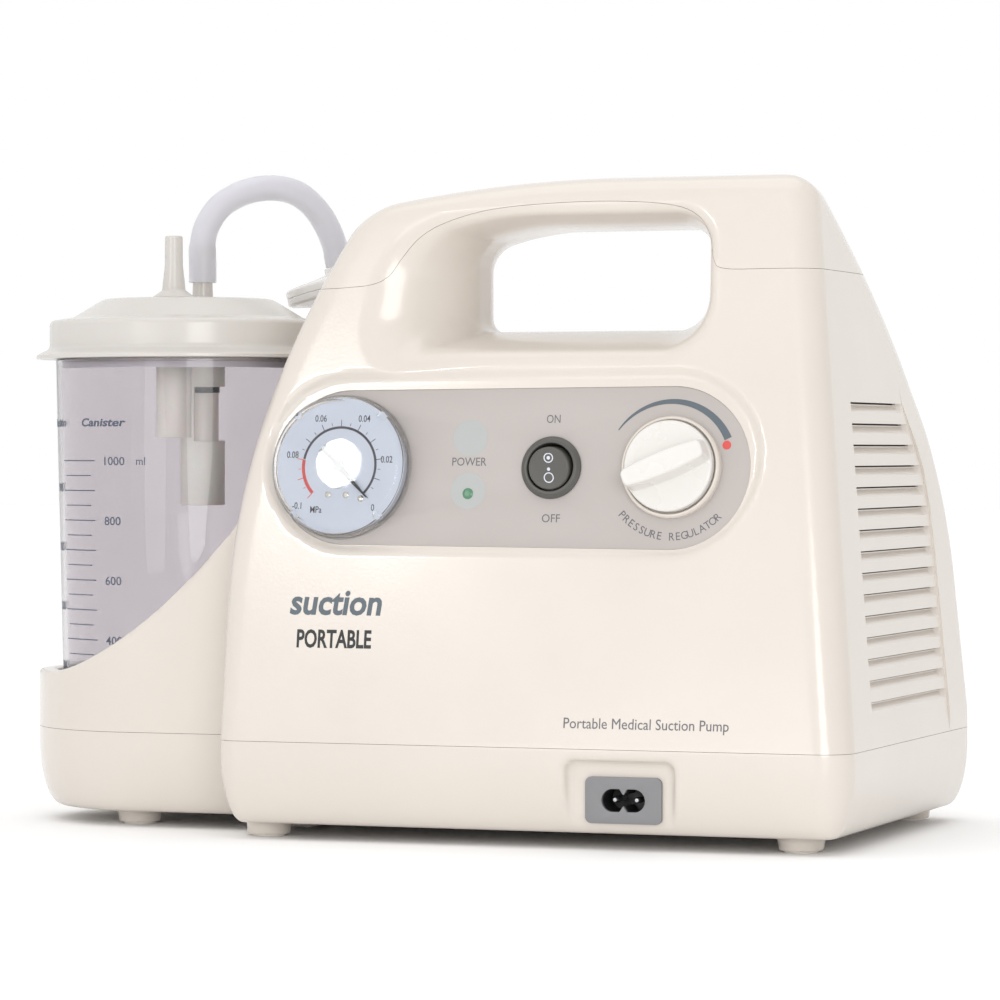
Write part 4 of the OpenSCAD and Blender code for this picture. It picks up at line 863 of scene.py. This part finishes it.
def make_gauge(clear, face, ink, red, black, steel):
    place = on_front(GAUGE_X)
    low = PANEL_OUT + 0.02
    lens = lathe("lens", [(26.4, low), (LENS_R, low, 0.2), (LENS_R, low + 0.8, 0.3), (27.4, low + 1.5, 0.4),
                          (27.1, 5.0, 0.5), (25.2, 6.7, 1.8), (0, 6.88), (0, 5.9), (24.6, 5.75, 1.2),
                          (26.35, 4.2, 0.8), (26.4, 3.0)], 128)
    for turn in (48, 132, 228, 312):
        clip = lathe("clip", [(0, 3.2), (1.9, 3.2, 0.5), (1.5, 5.6, 0.8), (0, 6.4)], 24)
        clip = moved(clip, 25.6)
        clip.transform(Matrix.Rotation(math.radians(turn), 4, "Z"))
        lens = boolean(lens, clip, "UNION")
    lens.transform(place)
    placed("gauge_glass", lens, clear, ("gauge_lens",), slot="clear_plastic", angle=28)
    outline = [(1.3, 2.05), (24.7, 2.05), (24.7, -0.3), (DIAL_R, -0.3), (DIAL_R, DIAL_TOP, 0.4),
               (1.3, DIAL_TOP)]
    turned("dial_face", outline, face, ("gauge_dial",), place, slot="dial_print")

    red_shapes = [ribbon(arc(SCALE_R, RED_FROM, ZERO_AT + SCALE_SPAN), 1.3)]
    shapes = [ribbon(arc(SCALE_R, ZERO_AT, RED_FROM - 1), 0.95)]
    for i in range(21):
        turn = ZERO_AT + SCALE_SPAN * i / 20
        ends = (15.2, 17.8) if i % 2 == 0 else (15.9, 17.0)
        tick = ribbon([arc(r, turn, turn, 1)[0] for r in ends], 0.28 if i % 2 == 0 else 0.22)
        (red_shapes if turn > RED_FROM - 1 else shapes).append(tick)
    for words, at in (("0.02", (19.4, 2.6)), ("0.04", (9.4, 18.4)), ("0.06", (-8.6, 18.5)),
                      ("0.08", (-19.6, 4.4)), ("-0.1", (-16.8, -15.4)), ("0", (14.6, -16.0)),
                      ("MPa", (-8.8, -16.9))):
        shapes.append(letters(words, 2.7, at, squeeze=0.78, bold=0.03))
    shapes.append(letters("2.5", 1.6, (0, -7.1), squeeze=0.7))
    shapes.append(ribbon(arc(1.75, 0, 360, 32) - (0, 7.1), 0.18))
    above_dial = place @ Matrix.Translation(Vector((0, 0, DIAL_TOP - 0.01)) * MM)
    printed("dial_scale", shapes, ink, place=above_dial)
    printed("dial_red_zone", red_shapes, red, place=above_dial)

    screws = None
    for x, y in ((-4.1, -11.2), (3.3, -11.3), (9.5, -12.7)):
        head = lathe("head", [(0, 2.75), (1.3, 2.75, 0.1), (1.25, 3.0, 0.15), (0.75, 3.28, 0.2), (0, 3.35)], 32)
        for a, b in ((0.75, 0.16), (0.16, 0.75)):
            head = boolean(head, block((-a, -b, 3.05), (a, b, 4)))
        moved(head, x, y)
        screws = head if screws is None else boolean(screws, head, "UNION")
    screws.transform(place)
    placed("dial_screws", screws, steel, ("gauge_screws",), slot="steel")

    half = [(-9.6, 1.9), (-8.0, 1.25), (-4.0, 0.85), (0, 1.2), (17.4, 0.22)]
    needle = [(a, -b) for a, b in half] + half[::-1]
    pointer = mesh_from("needle", *plate(needle, 0.55))
    pointer = moved(outward(pointer), z=3.95)
    hub = lathe("hub", [(0, -18.5), (0.95, -18.5), (0.95, 3.2), (2.2, 3.6, 0.3), (2.2, 4.8, 0.4), (0, 5.1)], 32)
    pointer = boolean(pointer, hub, "UNION")
    pointer.transform(place @ Matrix.Rotation(math.radians(ZERO_AT), 4, "Z"))
    placed("pointer_needle", pointer, black, ("gauge_pointer",), "pointer", "black_paint")


# ================= lamp, switch and regulator =================
def make_lamp(green):
    outline = [(0, -8), (2.2, -8), (2.2, PANEL_OUT - 0.1), (2.15, PANEL_OUT + 0.1, 0.2),
               (1.2, PANEL_OUT + 0.48, 0.5), (0, PANEL_OUT + 0.5)]
    turned("lamp_dome", outline, green, ("power_lamp",), on_front(LAMP_X, -10), 48, slot="lamp_lens")


def make_switch(grey, ink):
    low = PANEL_OUT + 0.02
    outline = [(0, -20), (10.5, -20, 0.5), (10.5, low), (12.0, low, 0.15), (11.9, low + 0.6, 0.5),
               (10.4, 0.3, 0.7), (9.5, 0.38, 0.25), (9.2, 0.1, 0.1), (9.2, -9), (0, -9)]
    turned("switch_bezel", outline, grey, ("switch_body",), on_front(SWITCH_X), slot="dark_plastic", angle=30)
    tilt = on_front(SWITCH_X, 0, -2) @ Matrix.Rotation(math.radians(12), 4, "X")
    outline = [(0, -4), (8.1, -4, 0.3), (8.2, 3.2, 0.3), (7.75, 3.95, 0.5), (6.4, 3.8, 1.0), (0, 3.55)]
    turned("rocker_cap", outline, grey, ("switch_rocker",), tilt, body="rocker", slot="dark_plastic")
    marks = [ribbon(arc(r, 0, 360, 40) + (0, y), 0.42) for r, y in ((1.7, 4.1), (1.8, -3.4))]
    marks += [plate(disc_outline(0, y, r, 24)) for r, y in ((0.7, 4.1), (0.65, -0.2))]
    above_cap = tilt @ Matrix.Translation(Vector((0, 0, 3.72)) * MM)
    printed("rocker_marks", marks, ink, "rocker", above_cap)


GRIP_TURN = math.radians(22)
KNOB_LOW = PANEL_OUT + 2.0


def knob_field(x, y, z):
    """The regulator knob: a disc with a bowed finger grip across it, hollow for the stem."""
    disc = round_max(np.hypot(x, y) - 17.25, np.abs(z - KNOB_LOW - 2.4) - 2.4, 0.9)
    share = 1 - (x / 17.2) ** 2
    half = 2.9 + 1.35 * share + 0.17 * (KNOB_LOW + 12.8 - z)
    grip = round_max((np.abs(y) - half) * 0.98, np.hypot(x, y) - 17.1 + 0.05 * (z - KNOB_LOW), 1.6)
    grip = np.maximum(round_max(grip, z - KNOB_LOW - 12.9, 0.9), KNOB_LOW + 1.0 - z)
    both = round_min(disc, grip, 0.9)
    return np.maximum(both, -np.maximum(np.hypot(x, y) - 3.02, z - KNOB_LOW - 8.0))


def make_regulator(plastic, white):
    low = PANEL_OUT + 0.02
    outline = [(7.2, low), (19.3, low, 0.15), (19.3, 1.5, 0.6), (18.75, 2.45, 0.5), (18.1, 2.5, 0.4),
               (17.85, 1.9, 0.3), (17.85, 0.0), (7.2, 0.0)]
    turned("regulator_collar", outline, plastic, ("regulator_ring",), on_front(KNOB_X))
    voxel = 0.36
    knob = field_mesh("knob", knob_field, (-18.5, -18.5, KNOB_LOW - 1), (18.5, 18.5, KNOB_LOW + 14), voxel)
    knob.transform(on_front(KNOB_X) @ Matrix.Rotation(GRIP_TURN, 4, "Z"))
    placed("knob_grip", knob, white, ("regulator_knob",), "knob", "white_plastic")


# ================= printed legends =================
def make_legends(grey, slate, red, pale, black):
    panel = on_front(0, 0, PANEL_OUT)
    words = [letters("POWER", 3.3, (LAMP_X, 2.4), squeeze=0.9),
             letters("ON", 3.3, (SWITCH_X, 18.8), squeeze=0.82),
             letters("OFF", 3.3, (SWITCH_X + 0.7, -19.2), squeeze=0.95)]
    title = "PRESSURE REGULATOR"
    start, end, radius = 223.0, 315.0, 25.9
    for i, letter in enumerate(title):
        if letter == " ":
            continue
        turn = start + (end - start) * i / (len(title) - 1)
        a = math.radians(turn)
        at = (KNOB_X + radius * math.cos(a), radius * math.sin(a))
        words.append(letters(letter, 3.1, at, turn + 90, 0.95))
    printed("panel_words", words, grey, place=panel)
    sweep = arc(26.3, 147, 27.5, 60, 24.0)
    widths = 0.3 + 2.7 * np.linspace(0, 1, 61) ** 0.7
    crescent = ribbon([(KNOB_X + x, y) for x, y in sweep], widths)
    printed("regulator_arc", [crescent], slate, place=panel)
    a = math.radians(22.5)
    dot = disc_outline(KNOB_X + 22.6 * math.cos(a), 22.6 * math.sin(a), 1.7, 40)
    printed("regulator_dot", [plate(dot, 1.4 * INK)], red, place=panel)
    windows = [plate(disc_outline(LAMP_X, v, 7.0, 64), 0.5 * INK) for v in (11.4, -9.0)]
    printed("lamp_windows", windows, pale, place=panel)
    face = on_front(0, 0, 0.02)
    note = letters("Portable Medical Suction Pump", 4.2, (73.4, -96.6), squeeze=0.9, middle=False)
    printed("front_words", [note], grey, place=face)
    title = letters("suction", 10.0, (-20.8, -52.0), squeeze=0.95, bold=0.35, slant=0.12)
    printed("front_title", [title], slate, place=face)
    label = letters("PORTABLE", 7.0, (-21.2, -66.3), squeeze=0.68, bold=0.25)
    printed("front_label", [label], black, place=face)


# ================= CAD nodes that stay =================
def finish_nodes(names, material, bevel=0.3):
    """Gives CAD nodes a material and small rounded edges."""
    for name in names.split():
        piece = nodes[name]
        for place in piece.material_slots:
            place.material = material
        if "custom_normal" in piece.data.attributes:
            piece.data.attributes.remove(piece.data.attributes["custom_normal"])
        piece.data.shade_smooth()
        welded = piece.modifiers.new("weld", "WELD")
        welded.merge_threshold = 1e-6
        if bevel:
            edges = piece.modifiers.new("edges", "BEVEL")
            edges.width = bevel * MM
            edges.segments = 2
            edges.limit_method = "ANGLE"
            edges.angle_limit = math.radians(40)
        split = piece.modifiers.new("sharp", "EDGE_SPLIT")
        split.split_angle = math.radians(35)


def inlet_material():
    """Grey moulding with painted shade: darker towards the bottom of its cavity."""
    material, tree, surface = shader("inlet_grey_painted_shade", Roughness=0.45)
    where = tree.nodes.new("ShaderNodeTexCoord")
    split = tree.nodes.new("ShaderNodeSeparateXYZ")
    tree.links.new(where.outputs["Object"], split.inputs["Vector"])
    depth = tree.nodes.new("ShaderNodeMapRange")
    depth.inputs["From Min"].default_value = (INLET_FACE_Y - 1.2) * MM
    depth.inputs["From Max"].default_value = (INLET_FACE_Y + 3.0) * MM
    tree.links.new(split.outputs["Y"], depth.inputs["Value"])
    # painted shade: grey at the cavity's face, near black at its bottom
    colour = ramp(tree, depth.outputs["Result"], rgb(131, 131, 133), rgb(30, 30, 32), 0.0, 0.5)
    tree.links.new(colour, surface.inputs["Base Color"])
    tree.links.new(map_range(tree, noise(tree, 120.0), 0.4, 0.55), surface.inputs["Roughness"])
    bump(tree, surface, noise(tree, 2500.0, 2.0), 0.00001)
    return material


def make_everything():
    plastic = moulded("ivory_gloss", rgb(213, 205, 196), rgb(216, 208, 199), (0.16, 0.22),
                      Coat_Weight=0.25, Coat_Roughness=0.06)
    silicone = see_through("milky_silicone", rgb(238, 237, 242), rgb(242, 241, 246), (0.32, 0.4), 0.5, 1.41)
    filter_white = see_through("filter_styrene", rgb(246, 243, 240), rgb(250, 247, 244), (0.22, 0.3), 0.2)
    lid_white = moulded("lid_polypropylene", rgb(200, 196, 190), rgb(204, 200, 195), (0.2, 0.27),
                        Subsurface_Weight=0.1, Subsurface_Scale=0.002)
    jar_clear = see_through("jar_polycarbonate", rgb(217, 213, 216), rgb(221, 217, 220), (0.01, 0.03),
                            ior=1.35)
    lens_clear = see_through("lens_acrylic", rgb(250, 251, 252), rgb(253, 253, 253), (0.01, 0.03), 1.0, 1.3)
    tube_white = moulded("tube_polypropylene", rgb(250, 244, 234), rgb(252, 247, 238), (0.3, 0.38),
                         Subsurface_Weight=0.3, Subsurface_Scale=0.004)
    knob_white = moulded("knob_white", rgb(219, 216, 211), rgb(222, 219, 215), (0.24, 0.3))
    film = moulded("panel_film", rgb(177, 170, 166), rgb(181, 174, 170), (0.42, 0.52), (1500.0, 0.000015))
    grey_abs = moulded("switch_abs", rgb(78, 77, 73), rgb(84, 83, 79), (0.3, 0.4), (1800.0, 0.00002))
    dark = moulded("dark_plastic", rgb(48, 49, 52), rgb(58, 59, 62), (0.35, 0.5))
    rubber = moulded("foot_rubber", rgb(240, 233, 224), rgb(246, 239, 230), (0.6, 0.75), (1200.0, 0.00003))
    black_rubber = moulded("black_rubber", rgb(28, 28, 29), rgb(38, 38, 39), (0.55, 0.7), (1200.0, 0.00003))
    paper = moulded("filter_paper", rgb(232, 232, 232), rgb(242, 242, 242), (0.8, 0.95), (1600.0, 0.00006))
    dial = moulded("dial_face", rgb(205, 212, 226), rgb(209, 216, 229), (0.35, 0.45))
    steel = metal("steel", rgb(170, 171, 174), rgb(190, 191, 194))
    brass = metal("brass", rgb(196, 164, 96), rgb(212, 182, 114))
    nickel = metal("nickel_plate", rgb(170, 168, 162), rgb(192, 190, 184), (0.2, 0.3))
    copper = metal("enamelled_copper", rgb(158, 84, 42), rgb(182, 102, 54), (0.25, 0.4), (700.0, 0.00012))
    laminated = metal("laminated_steel", rgb(96, 98, 102), rgb(120, 122, 126), (0.4, 0.6), (900.0, 0.00005))
    cast = metal("cast_aluminium", rgb(150, 152, 154), rgb(172, 174, 176), (0.45, 0.6), (600.0, 0.00008))
    board = moulded("circuit_board", rgb(24, 88, 48), rgb(34, 104, 58), (0.3, 0.4))
    wire = moulded("wire_cover", rgb(92, 62, 44), rgb(110, 76, 54), (0.35, 0.5))
    ink = moulded("scale_ink", rgb(66, 74, 92), rgb(76, 84, 102), (0.4, 0.5))
    dial_ink = moulded("dial_ink", rgb(60, 58, 68), rgb(70, 68, 78), (0.4, 0.5))
    red_ink = moulded("red_ink", rgb(206, 74, 70), rgb(216, 86, 80), (0.4, 0.5))
    grey_ink = moulded("grey_ink", rgb(98, 96, 102), rgb(108, 106, 112), (0.4, 0.5))
    slate_ink = moulded("slate_ink", rgb(86, 96, 104), rgb(94, 104, 112), (0.4, 0.5))
    white_ink = moulded("white_ink", rgb(206, 209, 218), rgb(214, 217, 226), (0.4, 0.5))
    window = moulded("window_tint", rgb(168, 171, 169), rgb(171, 174, 172), (0.3, 0.4))
    green = see_through("lamp_green", rgb(92, 146, 112), rgb(104, 158, 124), (0.2, 0.3), 0.3)
    black = moulded("pointer_black", rgb(22, 23, 25), rgb(30, 31, 33), (0.3, 0.4))

    make_hose(silicone, filter_white)
    make_shells(plastic)
    make_canister(jar_clear, ink)
    make_lid(lid_white)
    make_gauge(lens_clear, dial, dial_ink, red_ink, black, nickel)
    make_lamp(green)
    make_switch(grey_abs, white_ink)
    make_regulator(plastic, knob_white)
    make_legends(grey_ink, slate_ink, red_ink, window, black)
    finish_nodes("control_panel", film, 0.12)
    finish_nodes("gauge_case exhaust_muffler fan_wheel", dark)
    finish_nodes("foot_pads", rubber)
    finish_nodes("patient_tube float_cage float_body", tube_white, 0.25)
    finish_nodes("vibration_mounts diaphragm float_seal", black_rubber)
    finish_nodes("lid_seal air_tubes", silicone, 0)
    finish_nodes("filter_membrane", paper, 0.1)
    finish_nodes("mains_inlet", inlet_material(), 0.35)
    finish_nodes("regulator_valve regulator_stem gauge_movement shaft_bearings eccentric", brass, 0.2)
    finish_nodes("inlet_pins switch_tabs regulator_nut motor_brackets motor_bolts rotor_shaft pump_screws "
                 "mounting_plate housing_screws valve_plate", steel, 0.2)
    finish_nodes("motor_coils", copper, 0.5)
    finish_nodes("motor_stator rotor_core", laminated)
    finish_nodes("connecting_rod crankcase pump_chamber pump_head", cast, 0.5)
    finish_nodes("lamp_board", board, 0.1)
    finish_nodes("mains_wiring", wire, 0)


# ================= stage =================
FLOOR_HALF = 9000.0


def make_stage():
    corners = [(x * FLOOR_HALF, y * FLOOR_HALF, 0) for x, y in ((-1, -1), (1, -1), (1, 1), (-1, 1))]
    material, tree, surface = shader("floor_white", Roughness=0.9)
    colour = ramp(tree, noise(tree, 3.0), (0.95, 0.95, 0.95, 1), (0.97, 0.97, 0.97, 1))
    tree.links.new(colour, surface.inputs["Base Color"])
    new_object("floor", mesh_from("floor", corners, [(0, 1, 2, 3)]), material, body=None)
    world = bpy.data.worlds.new("studio")
    bpy.context.scene.world = world
    world.use_nodes = True
    world.node_tree.nodes["Background"].inputs["Color"].default_value = (1, 1, 1, 1)
    tree = world.node_tree
    where = tree.nodes.new("ShaderNodeTexCoord")
    split = tree.nodes.new("ShaderNodeSeparateXYZ")
    tree.links.new(where.outputs["Generated"], split.inputs["Vector"])
    dimmer = tree.nodes.new("ShaderNodeMapRange")     # less light from the right
    dimmer.inputs["From Min"].default_value = 0.3
    dimmer.inputs["From Max"].default_value = 0.9
    dimmer.inputs["To Min"].default_value = 1.0
    dimmer.inputs["To Max"].default_value = 0.6
    tree.links.new(split.outputs["X"], dimmer.inputs["Value"])
    tree.links.new(dimmer.outputs["Result"], tree.nodes["Background"].inputs["Strength"])
    soft_light("key", (0.85, -1.45, 0.26), (0.1, 0.0, 0.05), 0.7, 6.5)
    soft_light("low_fill", (-0.25, -1.5, 0.14), (-0.06, 0.0, 0.02), 0.5, 1.2)
    highlight = soft_light("highlight", (-0.463, -1.15, 0.446), (-0.02, -0.08, 0.143), 0.092, 0.8)
    highlight.visible_diffuse = False
    overhead = bpy.data.objects.new("overhead", bpy.data.lights.new("overhead", "SUN"))
    overhead.data.energy = 0.6
    overhead.data.angle = math.radians(60)
    bpy.context.scene.collection.objects.link(overhead)
    bpy.context.scene.view_settings.view_transform = "Standard"


def soft_light(name, at, towards, size, watts):
    light = bpy.data.lights.new(name, "AREA")
    light.shape = "DISK"
    light.size = size
    light.energy = watts
    lamp = bpy.data.objects.new(name, light)
    bpy.context.scene.collection.objects.link(lamp)
    lamp.location = at
    lamp.rotation_euler = (Vector(towards) - Vector(at)).to_track_quat("-Z", "Y").to_euler()
    return lamp


make_camera()
make_everything()
make_stage()
